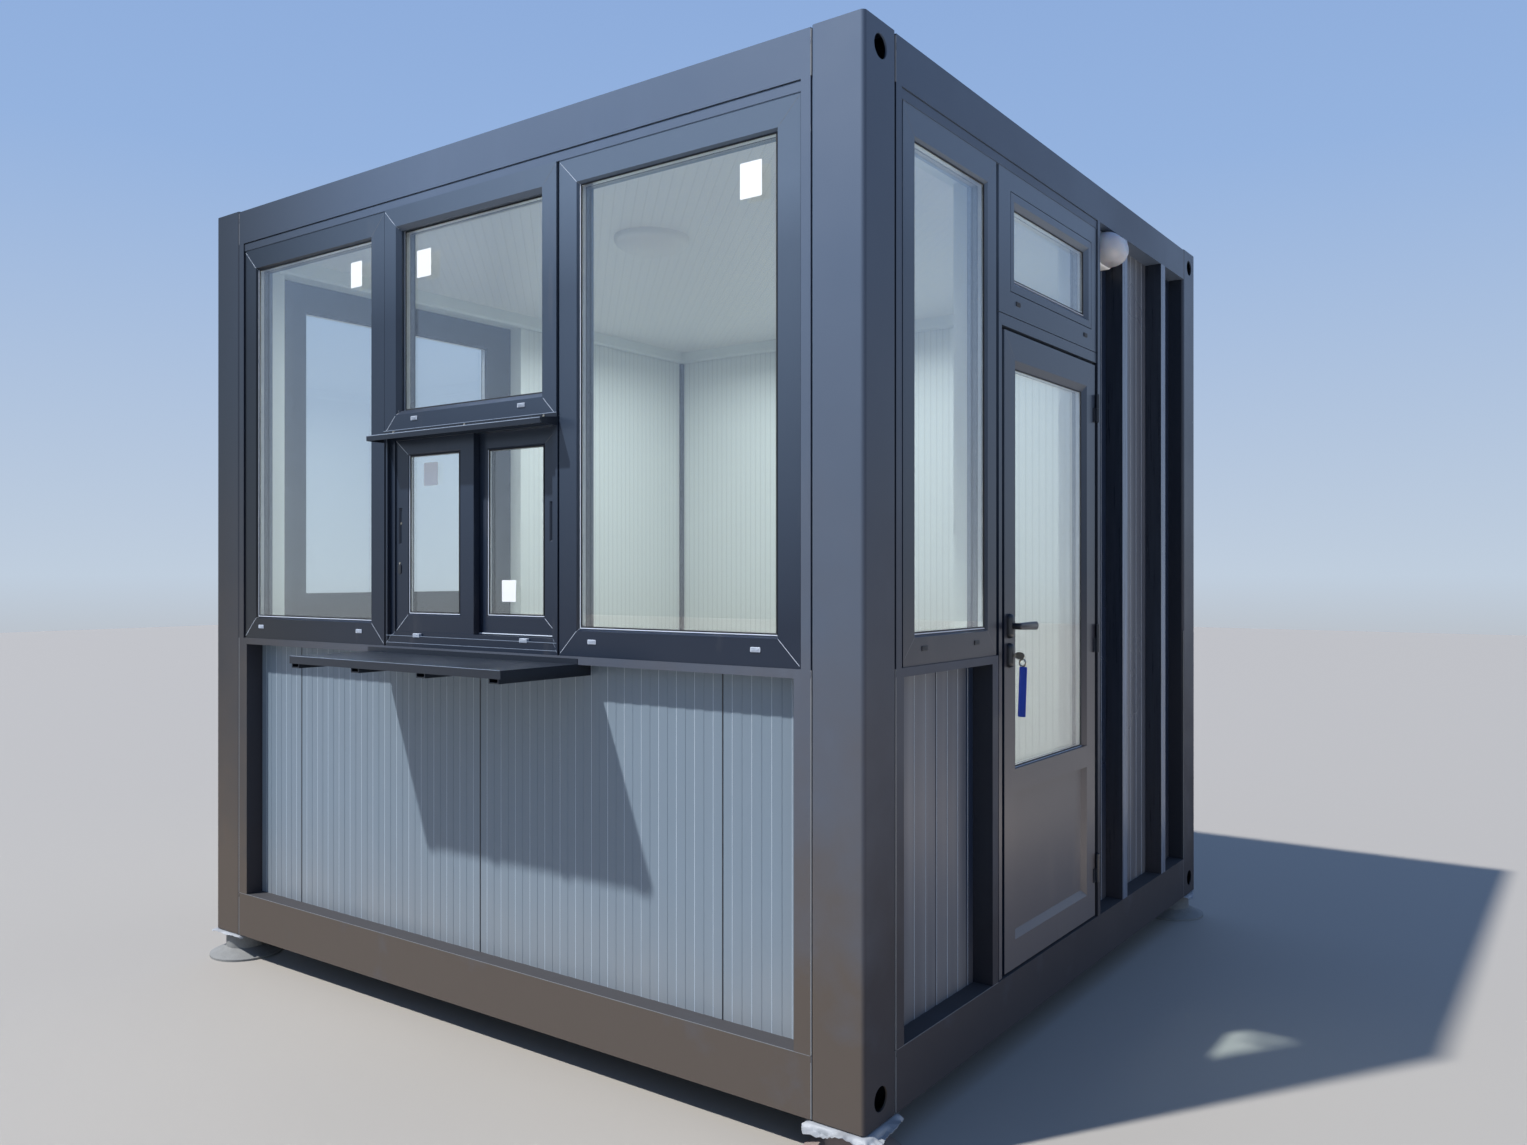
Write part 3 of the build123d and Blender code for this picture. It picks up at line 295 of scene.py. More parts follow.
def turned(piece, matrix):
    """Moves a piece by a matrix, with its faces turned outwards again after a mirror."""
    stand_on(piece, matrix)
    edit(piece)
    face_outwards()
    close()
    return piece


def joined(name, parts):
    """One object from several."""
    deselect()
    for part in parts:
        part.select_set(True)
    bpy.context.view_layer.objects.active = parts[0]
    if len(parts) > 1:
        bpy.ops.object.join()
    whole = bpy.context.view_layer.objects.active
    whole.name = name
    return whole


def repeat(piece, count, step):
    """An array of copies at equal steps along x, applied."""
    only(piece)
    row = piece.modifiers.new("row", "ARRAY")
    row.count = count
    row.use_relative_offset = False
    row.use_constant_offset = True
    row.constant_offset_displace = (step, 0.0, 0.0)
    bpy.ops.object.modifier_apply(modifier=row.name)


def finish(piece, body, slot, look, *stands_for):
    """Gives a finished piece its body and its material; the slot is not used."""
    piece.data.materials.clear()
    piece.data.materials.append(material(look))
    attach(piece, body)
    if stands_for:
        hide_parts(*stands_for)
    return piece


def solid_boxes(node):
    """The lowest and highest corner of each separate solid of a CAD node."""
    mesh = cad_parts[node].data
    place = {}
    lead = [place.setdefault(tuple(round(value, 5) for value in vertex.co), vertex.index)
            for vertex in mesh.vertices]
    group_of = list(range(len(mesh.vertices)))

    def root(index):
        while group_of[index] != index:
            group_of[index] = group_of[group_of[index]]
            index = group_of[index]
        return index

    for face in mesh.polygons:
        first = root(lead[face.vertices[0]])
        for other in face.vertices[1:]:
            group_of[root(lead[other])] = first
    boxes = {}
    for vertex in mesh.vertices:
        low, high = boxes.setdefault(root(lead[vertex.index]), (vertex.co.copy(), vertex.co.copy()))
        for axis in range(3):
            low[axis] = min(low[axis], vertex.co[axis])
            high[axis] = max(high[axis], vertex.co[axis])
    return sorted(boxes.values(), key=lambda box: tuple(box[0]))


def on_wall(box, wall):
    """A box's span along a wall, up it and outwards from it: (u0, z0, out0), (u1, z1, out1)."""
    back = wall.inverted()
    ends = tuple(zip(*(back @ Vector(corner) for corner in box)))
    return Vector([min(pair) for pair in ends]), Vector([max(pair) for pair in ends])


def outline(low, high):
    """The middle and the size of a span in its plane."""
    return ((low.x + high.x) / 2, (low.y + high.y) / 2), (high.x - low.x, high.y - low.y)


def wall_of(box):
    """The wall that a flat piece stands in."""
    low, high = (Vector(corner) for corner in box)
    if high.x - low.x < high.y - low.y:
        return RIGHT_WALL if low.x > 0 else LEFT_WALL
    return FRONT_WALL if low.y < (FRONT + BACK) / 2 else BACK_WALL


def skin_out(nodes, wall, spot, start_out=0.4):
    """How far out of a wall's face the outermost of some nodes lies at a spot."""
    inwards = -(wall.to_3x3() @ Vector((0.0, 0.0, 1.0)))
    start = wall @ Vector((spot[0], spot[1], start_out))
    rays = [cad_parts[node].ray_cast(start, inwards) for node in nodes]
    return max(((wall.inverted() @ ray[1]).z for ray in rays if ray[0]), default=0.0)


def laid_line(name, wall, start, end, width, node, lift, steps=12):
    """A thin raised line laid over the outer face of a node from one spot to another."""
    start, end = Vector(start), Vector(end)
    run = end - start
    line = primitive(bpy.ops.mesh.primitive_grid_add, name, (run.length, width, 1.0),
                     x_subdivisions=steps, y_subdivisions=1, size=1.0)
    turn = Matrix.Rotation(atan2(run.y, run.x), 2)
    centre = (start + end) / 2
    for vertex in line.data.vertices:
        along = turn @ Vector((vertex.co.x, 0.0)) + centre
        spot = turn @ vertex.co.xy + centre
        vertex.co = (spot.x, spot.y, skin_out((node,), wall, along))
    edit(line)
    pick_all()
    extrude(lift)
    face_outwards()
    close()
    return line


def dress(tree, target, sockets):
    """Gives a node's inputs values or joins them to outputs."""
    for name, value in sockets.items():
        if isinstance(value, bpy.types.NodeSocket):
            tree.links.new(value, target.inputs[name])
        else:
            target.inputs[name].default_value = value


def put(tree, kind, sockets=None, **settings):
    """A new node with its settings and inputs."""
    made = tree.nodes.new(kind)
    for name, value in settings.items():
        setattr(made, name, value)
    dress(tree, made, sockets or {})
    return made


def maths(tree, operation, first, second=0.0, held=False):
    """One sum or comparison of two values, if wanted held between nought and one."""
    made = put(tree, "ShaderNodeMath", {0: first, 1: second}, operation=operation, use_clamp=held)
    return made.outputs[0]


def times(tree, first, second):
    """A product."""
    return maths(tree, "MULTIPLY", first, second)


def spread(tree, value, low=0.0, high=1.0, to_low=0.0, to_high=1.0, **settings):
    """A value taken from one range to another and held at its ends."""
    return put(tree, "ShaderNodeMapRange", {
        "Value": value, "From Min": low, "From Max": high, "To Min": to_low, "To Max": to_high},
        **settings).outputs[0]


def mix(tree, share, first, second):
    """A mix of two colours by a share."""
    made = put(tree, "ShaderNodeMix", data_type="RGBA")
    whole = [(*value, 1.0) if isinstance(value, tuple) else value for value in (first, second)]
    dress(tree, made, {0: share, 6: whole[0], 7: whole[1]})
    return made.outputs[2]


def layered(tree, base, *coats):
    """A colour under others, each laid on by its mask and a share of it."""
    for mask, share, colour in coats:
        base = mix(tree, times(tree, mask, share), base, colour)
    return base


def tinted(colour, share):
    """A colour made darker or lighter."""
    return tuple(min(1.0, value * share) for value in colour)


def varied(tree, mask, colour, low, high):
    """A colour that drifts between two shares of itself."""
    return mix(tree, mask, tinted(colour, low), tinted(colour, high))


def gained(tree, colour, gain):
    """A colour scaled by a value."""
    made = put(tree, "ShaderNodeVectorMath", {"Vector": colour, "Scale": gain}, operation="SCALE")
    return made.outputs[0]


def coords(tree):
    """The place on the object."""
    return put(tree, "ShaderNodeTexCoord").outputs["Object"]


def drawn_out(tree, scale):
    """The place on the object, drawn out along the axes with a small scale."""
    return put(tree, "ShaderNodeMapping", {"Vector": coords(tree), "Scale": scale}).outputs[0]


def split(tree, vector):
    """A vector's X, Y and Z."""
    return put(tree, "ShaderNodeSeparateXYZ", {"Vector": vector}).outputs


def facing(tree):
    """How far a face looks along X, Y and Z."""
    return split(tree, put(tree, "ShaderNodeNewGeometry").outputs["Normal"])


def cloud(tree, place, scale, detail, rough=0.5):
    """Soft noise between nought and one."""
    return put(tree, "ShaderNodeTexNoise", {
        "Vector": place, "Scale": scale, "Detail": detail, "Roughness": rough}).outputs["Fac"]


def cells(tree, place, scale):
    """Distance from the middle of the nearest cell."""
    return put(tree, "ShaderNodeTexVoronoi", {"Vector": place, "Scale": scale}).outputs["Distance"]


# Where the painted light and dust change, in metres of the frame
DARK_END = -1.7          # X where the coats' painted shade is darkest, over the left end
BEHIND_FRONT = -1.15     # Y behind which a face toward the front lies in a bay and gets painted shade
PARAPET_END = -0.6       # Y where the door side's parapet ends
DOOR_SIDE = 1.2          # X past which a post stands on the door side
BOARD_FOOT = 0.26        # Z of the boards' lower rims
STEEL_SHEEN_FADE = (1.5, 2.9)    # Z between which a painted sky reflection pales the steel
# Z between which a painted sky reflection pales the profiles
PROFILE_SHEEN_FADE = (1.35, 2.75)
# Z between which a painted sky reflection pales the profiles' heads
HEAD_SHEEN_FADE = (2.35, 2.65)
GROUND_GLOW_FADE = (1.5, 0.5)   # Z between which a painted warm ground reflection turns the door side's profiles warmer, downwards

EFFECTS = {}


def effect(name, inputs, *outputs):
    """Keeps a function as the maker of a shared effect with these inputs and outputs."""
    def keep(build):
        EFFECTS[name] = (build, inputs, outputs)
        return build
    return keep


@effect("daylight_run", {"Left": 0.4, "Right": 1.0}, "Gain", "Side", "Recess")
def daylight_run(tree, given):
    """Painted light of a coat: a gain that darkens it towards the left as painted shade, a mask of faces
    toward the door side, and a mask of front faces inside the bays for painted shade.
    """
    place, look = split(tree, coords(tree)), facing(tree)
    gain = spread(tree, place["X"], DARK_END, 0.0, given["Left"], given["Right"],
                  interpolation_type="SMOOTHSTEP")
    side = maths(tree, "ADD", look["X"], 0.0, held=True)
    forward = maths(tree, "MULTIPLY", look["Y"], -1.0, held=True)
    return gain, side, times(tree, forward, maths(tree, "GREATER_THAN", place["Y"], BEHIND_FRONT))


@effect("paint_grain", {"Fine scale": 900.0, "Drift scale": 1.3}, "Height", "Tone")
def paint_grain(tree, given):
    """Orange-peel grain of sprayed paint, with a slow drift of tone."""
    place = coords(tree)
    fine = cloud(tree, place, given["Fine scale"], 2.0, 0.6)
    return fine, cloud(tree, place, given["Drift scale"], 4.0, 0.55)


@effect("ground_dust", {"Foot": FOOT, "Reach": 0.5, "Amount": 0.5}, "Mask")
def ground_dust(tree, given):
    """Dust that settles near the ground and thins out upwards."""
    place = coords(tree)
    above = maths(tree, "SUBTRACT", split(tree, place)["Z"], given["Foot"])
    near = maths(tree, "SUBTRACT", 1.0, maths(tree, "DIVIDE", above, given["Reach"]), held=True)
    patch = spread(tree, cloud(tree, place, 4.0, 5.0, 0.55), -0.1, 0.65)
    mask = times(tree, maths(tree, "POWER", near, 2.2), patch)
    return (maths(tree, "MULTIPLY", mask, given["Amount"], held=True),)


@effect("smudges", {"Scale": 3.0, "Low": 0.55, "High": 0.8}, "Mask")
def smudges(tree, given):
    """Wiped streaks and hand marks, as a mask."""
    marks = cloud(tree, drawn_out(tree, (1.0, 1.0, 0.25)), given["Scale"], 8.0, 0.62)
    return (spread(tree, marks, given["Low"], given["High"]),)


@effect("room_side", {"Depth": 0.1}, "Mask")
def room_side(tree, given):
    """One inside the room and on the room's side of the walls, nought outside."""
    place = split(tree, coords(tree))
    nearest = maths(tree, "SUBTRACT", place["X"], LEFT)
    for first, second in ((RIGHT, place["X"]), (place["Y"], FRONT), (BACK, place["Y"])):
        nearest = maths(tree, "MINIMUM", nearest, maths(tree, "SUBTRACT", first, second))
    return (maths(tree, "GREATER_THAN", nearest, given["Depth"]),)


@effect("fine_ribs", {"Pitch": 0.0333, "Line": 0.10}, "Height", "Line")
def fine_ribs(tree, given):
    """Fine upright ribs pressed into a sheet, read across the booth both ways."""
    place = split(tree, coords(tree))
    across = maths(tree, "ADD", place["X"], place["Y"])
    turn = maths(tree, "FRACT", maths(tree, "DIVIDE", across, given["Pitch"]))
    off = maths(tree, "ABSOLUTE", maths(tree, "SUBTRACT", turn, 0.5))
    line = spread(tree, off, given["Line"], 0.0)
    return maths(tree, "SUBTRACT", 1.0, line), line


def group(tree, name, sockets=None):
    """The outputs of a placed copy of a shared effect, which is made on its first use."""
    inner = bpy.data.node_groups.get(name)
    if inner is None:
        build, inputs, outputs = EFFECTS[name]
        inner = bpy.data.node_groups.new(name, "ShaderNodeTree")
        for way, labels in (("INPUT", inputs), ("OUTPUT", outputs)):
            for label in labels:
                socket = inner.interface.new_socket(name=label, in_out=way, socket_type="NodeSocketFloat")
                if way == "INPUT":
                    socket.default_value = inputs[label]
        entry, leave = inner.nodes.new("NodeGroupInput"), inner.nodes.new("NodeGroupOutput")
        dress(inner, leave, dict(zip(outputs, build(inner, entry.outputs))))
    made = tree.nodes.new("ShaderNodeGroup")
    made.node_tree = inner
    dress(tree, made, sockets or {})
    return made.outputs


def grain_of(tree, fine, drift=1.3):
    """The shared paint grain at two scales."""
    return group(tree, "paint_grain", {"Fine scale": fine, "Drift scale": drift})


def smudged(tree, scale, low, high):
    """The shared smudges' mask."""
    return group(tree, "smudges", {"Scale": scale, "Low": low, "High": high})["Mask"]


def dusted(tree, reach, amount, foot=FOOT):
    """The shared dust's mask."""
    return group(tree, "ground_dust", {"Foot": foot, "Reach": reach, "Amount": amount})["Mask"]


def fresh(name):
    """A new material and its tree."""
    made = bpy.data.materials.new(name)
    made.use_nodes = True
    return made, made.node_tree


def shade(made, sockets):
    """Sets the inputs of a material's Principled shader."""
    dress(made.node_tree, made.node_tree.nodes["Principled BSDF"], sockets)
    return made


def coated(made, colour, rough, height, strength, distance, more=None):
    """Completes a material: its colour, roughness and the bumps of a height."""
    bumps = put(made.node_tree, "ShaderNodeBump", {
        "Height": height, "Strength": strength, "Distance": distance})
    return shade(made, {
        "Base Color": colour, "Roughness": rough, "Normal": bumps.outputs["Normal"], **(more or {})})


DUST = (0.34, 0.30, 0.25)
# Brown of the dust on low steel, partly a painted reflection of the ground
DUST_AND_GROUND_REFLECTION = (0.074, 0.055, 0.040)
BAY_DUST = (0.085, 0.066, 0.052)
# Painted shade: on the door side, inside the bays and on upward faces
DOOR_SIDE_SHADE = (0.006, 0.011, 0.026)
BAY_SHADE = (0.003, 0.006, 0.014)
LEDGE_SHADE = (0.018, 0.023, 0.032)
# Painted sky reflection on the upper profiles
PAINTED_SKY_SHEEN = (0.105, 0.140, 0.190)
# Painted warm reflection of the ground on the door side's low profiles
PAINTED_GROUND_GLOW = (0.135, 0.116, 0.108)
# Pale streaks on the boards: painted reflections
REFLECTION_STREAK = (0.17, 0.18, 0.20)


def steel_finish(name, colour):
    """Satin sprayed steel with grain, wiped smudges, dust by the ground with a painted brown ground
    reflection, a painted sky reflection high up, and painted shade to the left, on the door side, in the
    bays and on upward faces.
    """
    made, tree = fresh(name)
    grain = grain_of(tree, 420.0)
    # Dust by the ground, which also carries a painted brown reflection of the ground on the lower steel
    dust = dusted(tree, 2.4, 1.6)
    run = group(tree, "daylight_run", {"Left": 0.12, "Right": 1.02})
    # Painted sky reflection: the steel pales upwards
    sky_sheen = spread(tree, split(tree, coords(tree))["Z"], *STEEL_SHEEN_FADE)
    tone = layered(tree, varied(tree, grain["Tone"], colour, 0.82, 1.22),
                   (sky_sheen, 1.0, tinted(colour, 1.7)),
                   (smudged(tree, 5.0, 0.56, 0.78), 0.3, tinted(colour, 2.0)))
    # Painted shade: darker to the left, on faces toward the door side, on front faces inside the bays and
    # on upward faces
    coat = layered(tree, gained(tree, tone, run["Gain"]),
                   (dust, 0.95, DUST_AND_GROUND_REFLECTION), (run["Side"], 0.58, DOOR_SIDE_SHADE), (run["Recess"], 0.9, BAY_SHADE),
                   (facing(tree)["Z"], 0.7, LEDGE_SHADE))
    matt = maths(tree, "ADD", spread(tree, grain["Tone"], 0.3, 0.7, 0.30, 0.46), times(tree, dust, 0.4))
    return coated(made, coat, matt, grain["Height"], 0.35, 0.0004)


def profile_finish(name, colour):
    """Foiled plastic profile with a faint leather grain, a painted sky reflection high up, a painted warm
    ground reflection low on the door side and painted shade to the left.
    """
    made, tree = fresh(name)
    grain = grain_of(tree, 1100.0, 2.0)
    marks = smudged(tree, 8.0, 0.6, 0.85)
    run = group(tree, "daylight_run", {"Left": 0.0, "Right": 1.0})
    place = split(tree, coords(tree))
    height = place["Z"]
    # Painted sky reflection: the profiles pale upwards, towards the right and at their heads, less on the
    # door side
    sky_sheen = times(tree, spread(tree, height, *PROFILE_SHEEN_FADE, to_high=0.9),
                  spread(tree, place["X"], -0.3, 1.2, 0.3))
    top = spread(tree, height, *HEAD_SHEEN_FADE, to_high=0.42)
    unshaded = maths(tree, "SUBTRACT", 1.0, times(tree, run["Side"], 0.45))
    tone = layered(tree, varied(tree, grain["Tone"], colour, 0.85, 1.15),
                   (maths(tree, "ADD", sky_sheen, top), unshaded, PAINTED_SKY_SHEEN))
    # Painted shade darker to the left, and a painted warm ground reflection low on faces toward the door
    # side
    coat = layered(tree, gained(tree, tone, run["Gain"]),
                   (run["Side"], spread(tree, height, *GROUND_GLOW_FADE, to_high=0.9), PAINTED_GROUND_GLOW),
                   (marks, 0.12, DUST))
    sheen = spread(tree, marks, to_low=0.28, to_high=0.5)
    return coated(made, coat, sheen, grain["Height"], 0.25, 0.0002)


def bay_finish(name, colour):
    """Sprayed steel of the bay posts, paled by painted reflection streaks down its length, with painted
    shade on its sides and dust near the ground.
    """
    made, tree = fresh(name)
    # Pale streaks down the posts: painted reflections
    reflection_runs = spread(tree, cloud(tree, drawn_out(tree, (1.0, 1.0, 0.035)), 75.0, 5.0, 0.65), 0.36, 0.74)
    # Painted shade on the sides that face along the wall
    sides = maths(tree, "ABSOLUTE", facing(tree)["Y"])
    coat = layered(tree, varied(tree, reflection_runs, colour, 1.3, 3.0),
                   (sides, 0.9, BAY_SHADE), (dusted(tree, 1.2, 1.0), 0.6, BAY_DUST))
    sheen = spread(tree, reflection_runs, to_low=0.26, to_high=0.42)
    return coated(made, coat, sheen, grain_of(tree, 420.0)["Height"], 0.35, 0.0004)


def middle_bay():
    """The y values of the two bay posts' facing sides on the door wall."""
    posts = sorted((box for box in solid_boxes("bay_posts") if box[0].x > DOOR_SIDE),
                   key=lambda box: box[0].y)
    return posts[0][1].y, posts[1][0].y


def panel_finish(name, outside, inside, reflection_strength, one_bay=False):
    """Coated steel skin of the wall boards: grey outside with pale painted reflection streaks, pale with
    fine ribs inside.

    With one_bay the painted reflection streaks show only in the door wall's middle bay and on its parapet.
    """
    made, tree = fresh(name)
    room = group(tree, "room_side", {"Depth": 0.1})["Mask"]
    ribs = group(tree, "fine_ribs", {"Pitch": 0.0333, "Line": 0.11})
    grain = grain_of(tree, 700.0, 0.9)
    # Pale streaks down the boards: painted reflections
    reflection_runs = cloud(tree, drawn_out(tree, (1.0, 1.0, 0.04)), 15.0, 1.0)
    reflection_share = spread(tree, reflection_runs, 0.3, 0.8, reflection_strength * 0.45, reflection_strength)
    if one_bay:
        along = split(tree, coords(tree))["Y"]
        near, far = middle_bay()
        bay = times(tree, maths(tree, "GREATER_THAN", along, near), maths(tree, "LESS_THAN", along, far))
        reflection_share = times(tree, reflection_share, maths(tree, "ADD", bay, maths(tree, "LESS_THAN", along, PARAPET_END)))
    board = layered(tree, varied(tree, grain["Tone"], outside, 0.88, 1.12),
                    (reflection_share, 1.0, REFLECTION_STREAK), (dusted(tree, 0.5, 0.6, BOARD_FOOT), 0.5, DUST))
    lining = layered(tree, inside, (ribs["Line"], 0.5, tinted(inside, 0.5)))
    sheen = spread(tree, grain["Tone"], 0.3, 0.7, 0.26, 0.40)
    height = times(tree, ribs["Height"], room)
    return coated(made, mix(tree, room, board, lining), sheen, height, 0.6, 0.0008)


def pale_finish(name, colour, rough):
    """Pale indoor plastic or paper with a soft drift of tone."""
    made, tree = fresh(name)
    grain = grain_of(tree, 500.0, 1.1)
    return coated(made, varied(tree, grain["Tone"], colour, 0.93, 1.0), rough, grain["Height"], 0.1, 0.0003)


def ceiling_finish(name):
    """White ribbed sheet of the ceiling."""
    made, tree = fresh(name)
    ribs = group(tree, "fine_ribs", {"Pitch": 0.05, "Line": 0.08})
    colour = layered(tree, (0.80, 0.80, 0.78), (ribs["Line"], 0.35, (0.5, 0.5, 0.48)))
    return coated(made, colour, 0.4, ribs["Height"], 0.5, 0.0008)


def floor_finish(name):
    """Grey-brown vinyl on the booth's floor."""
    made, tree = fresh(name)
    grain = grain_of(tree, 60.0, 3.0)
    worn = layered(tree, mix(tree, grain["Tone"], (0.20, 0.16, 0.12), (0.30, 0.25, 0.20)),
                   (smudged(tree, 12.0, 0.5, 0.7), 0.4, (0.42, 0.39, 0.35)))
    return coated(made, worn, 0.5, grain["Height"], 0.15, 0.0005)


def concrete_finish(name):
    """Cast concrete with pores and stains, pinkish on the near pad."""
    made, tree = fresh(name)
    place = coords(tree)
    apart = split(tree, place)
    stain = cloud(tree, place, 18.0, 9.0, 0.7)
    deep = spread(tree, cells(tree, place, 190.0), high=0.25)
    near = times(tree, maths(tree, "GREATER_THAN", apart["X"], 0.0),
                 maths(tree, "LESS_THAN", apart["Y"], 0.0))
    pale = mix(tree, near, (0.26, 0.26, 0.245), (0.27, 0.19, 0.16))
    colour = mix(tree, deep, (0.09, 0.09, 0.085), mix(tree, stain, (0.12, 0.12, 0.115), pale))
    height = maths(tree, "ADD", times(tree, stain, 0.7), times(tree, deep, 0.3))
    return coated(made, colour, 0.85, height, 0.7, 0.002)


def metal_finish(name, colour, rough):
    """Brushed bare metal."""
    made, tree = fresh(name)
    strokes = cloud(tree, drawn_out(tree, (40.0, 1.0, 1.0)), 60.0, 5.0)
    sheen = spread(tree, strokes, to_low=rough * 0.8, to_high=rough * 1.3)
    brushed = varied(tree, strokes, colour, 0.8, 1.0)
    return coated(made, brushed, sheen, strokes, 0.15, 0.0002, {"Metallic": 1.0})


def plastic_finish(name, colour, rough, drift=0.12):
    """Moulded plastic or smooth paint with a fine grain."""
    made, tree = fresh(name)
    grain = grain_of(tree, 1500.0, 14.0)
    sheen = spread(tree, grain["Tone"], to_low=rough * 0.85, to_high=rough * 1.2)
    coat = varied(tree, grain["Tone"], colour, 1.0 - drift, 1.0 + drift)
    return coated(made, coat, sheen, grain["Height"], 0.2, 0.0001)


def glass_finish(name):
    """Clear glass that lets light through to the room."""
    made, tree = fresh(name)
    haze = cloud(tree, coords(tree), 2.2, 7.0, 0.65)
    shade(made, {
        "Base Color": (0.975, 0.99, 0.985, 1.0), "Roughness": spread(tree, haze, 0.5, 0.8, 0.0, 0.04),
        "Transmission Weight": 1.0, "IOR": 1.7})
    through = put(tree, "ShaderNodeBsdfTransparent", {"Color": (0.95, 0.97, 0.97, 1.0)})
    mixed = put(tree, "ShaderNodeMixShader", {
        0: put(tree, "ShaderNodeLightPath").outputs["Is Shadow Ray"],
        1: tree.nodes["Principled BSDF"].outputs[0], 2: through.outputs[0]})
    dress(tree, tree.nodes["Material Output"], {"Surface": mixed.outputs[0]})
    return made


def cover_finish(name):
    """Milky lamp cover."""
    made, tree = fresh(name)
    grain = grain_of(tree, 300.0, 5.0)
    milk = mix(tree, grain["Tone"], (0.36, 0.38, 0.42), (0.44, 0.46, 0.50))
    return coated(made, milk, 0.22, grain["Height"], 0.05, 0.0002, {"Subsurface Weight": 0.25})


def foam_finish(name):
    """Thin white foam sheet with a fine cell pattern and grime."""
    made, tree = fresh(name)
    place = coords(tree)
    white = mix(tree, cloud(tree, place, 25.0, 6.0), (0.20, 0.21, 0.22), (0.36, 0.37, 0.38))
    return coated(made, white, 0.55, cells(tree, place, 260.0), 0.3, 0.0006)


# Each look: its maker, the material's name and the maker's values. A word among them is a colour setting.
LOOKS = {
    "steel": (steel_finish, "booth_steel_paint", "steel"),
    "profile": (profile_finish, "profile_foil", "profile"),
    "panel": (panel_finish, "panel_skins", "panel", "inside", 0.12),
    # The door side's boards: a darker colour as painted shade, with painted reflection streaks
    "side_panel": (panel_finish, "side_panel_skins", "side_panel", "inside", 0.8, True),
    "bay_steel": (bay_finish, "bay_steel_paint", "steel"),
    "cream": (pale_finish, "cream_lining", "inside", 0.45),
    "sticker": (pale_finish, "blank_paper", (0.82, 0.82, 0.80), 0.5),
    "ceiling": (ceiling_finish, "ceiling_sheet"),
    "floor": (floor_finish, "floor_vinyl"),
    "concrete": (concrete_finish, "pad_concrete"),
    "foam": (foam_finish, "packing_foam_sheet"),
    "glass": (glass_finish, "pane_glass"),
    "cover": (cover_finish, "milky_cover"),
    "spacer": (metal_finish, "spacer_aluminium", (0.72, 0.73, 0.74), 0.35),
    "threshold": (metal_finish, "threshold_metal", (0.30, 0.29, 0.28), 0.4),
    "nickel": (metal_finish, "nickel", (0.52, 0.48, 0.39), 0.35),
    "black_steel": (plastic_finish, "black_powder_coat", (0.010, 0.014, 0.022), 0.30),
    "black_plastic": (plastic_finish, "black_handle", (0.018, 0.020, 0.024), 0.28),
    "rubber": (plastic_finish, "gasket_rubber", (0.012, 0.013, 0.015), 0.55),
    "white_plastic": (plastic_finish, "lamp_white", (0.74, 0.76, 0.78), 0.3, 0.05),
    "tag": (plastic_finish, "blue_tag", (0.006, 0.040, 0.36), 0.3),
    "cap": (plastic_finish, "grey_cap", (0.42, 0.46, 0.52), 0.4, 0.08),
    "dark_cap": (plastic_finish, "dark_cap", (0.016, 0.018, 0.022), 0.4),
    # Pale strips: painted highlights on glazing beads, the track rib and the front's mitre lines
    "bead": (plastic_finish, "bead_grey", (0.58, 0.63, 0.70), 0.35, 0.06),
    # Pale strips along the rib edges: painted highlights
    "rib_line": (plastic_finish, "rib_edge", (0.46, 0.52, 0.58), 0.4, 0.1),
    "seam": (plastic_finish, "painted_seam", (0.15, 0.155, 0.16), 0.4, 0.15),
    # Pale strips on lips and edges: painted highlights
    "edge_line": (plastic_finish, "worn_edge", (0.21, 0.25, 0.31), 0.35, 0.2),
}
MATERIALS = {}


def material(look):
    """The material of a look, made once."""
    if look not in MATERIALS:
        maker, name, *values = LOOKS[look]
        colours = bpy.context.scene.booth_finish
        MATERIALS[look] = maker(name, *(
            tuple(getattr(colours, value)) if isinstance(value, str) else value for value in values))
    return MATERIALS[look]


NODE_LOOKS = {
    "steel": (
        "corner_posts", "base_beams", "roof_beams", "floor_joists", "roof_sheet", "window_studs",
        "window_rails"),
    "profile": (
        "front_left_frame", "front_right_frame", "front_upper_sash", "service_frame",
        "service_sash_left", "service_sash_right", "right_window_frame", "left_window_frame",
        "left_window_sash", "door_frame", "transom_sash", "door_leaf", "door_panel"),
    "panel": ("front_parapet_panel", "left_parapet_panel", "left_rear_panel", "back_wall_panel"),
    "side_panel": ("right_wall_panels",),
    "bay_steel": ("bay_posts",),
    "cream": ("window_linings", "door_lining", "cornice"),
    "ceiling": ("ceiling_panel",),
    "floor": ("floor_deck",),
    "concrete": ("support_pads",),
    "foam": ("packing_sheets",),
    "glass": ("front_glass", "service_glass", "side_glass", "door_glass"),
    "spacer": ("glazing_spacers", "door_spacer"),
    "threshold": ("door_threshold",),
    "black_steel": ("service_shelf", "shelf_arms", "drip_cap", "hinge_jamb_parts", "hinge_leaf_parts"),
    "black_plastic": ("handle_levers", "door_roses"),
    "white_plastic": ("wall_lamp_base",),
    "cover": ("wall_lamp_cover", "ceiling_lamp"),
    "nickel": ("lock_cylinder", "door_key"),
}


class BOOTH_OT_finishes(bpy.types.Operator):
    """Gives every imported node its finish"""

    bl_idname = "booth.finishes"
    bl_label = "Finishes"

    def execute(self, context):
        missing = set(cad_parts) - {node for nodes in NODE_LOOKS.values() for node in nodes}
        if missing:
            raise RuntimeError("no finish for " + ", ".join(sorted(missing)))
        for look, nodes in NODE_LOOKS.items():
            for node in nodes:
                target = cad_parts[node]
                if not target.material_slots:
                    target.data.materials.append(material(look))
                for slot in target.material_slots:
                    slot.material = material(look)
        return {"FINISHED"}


BOARD_JOINTS = (0.476, 1.476, 2.476)        # Along the front wall


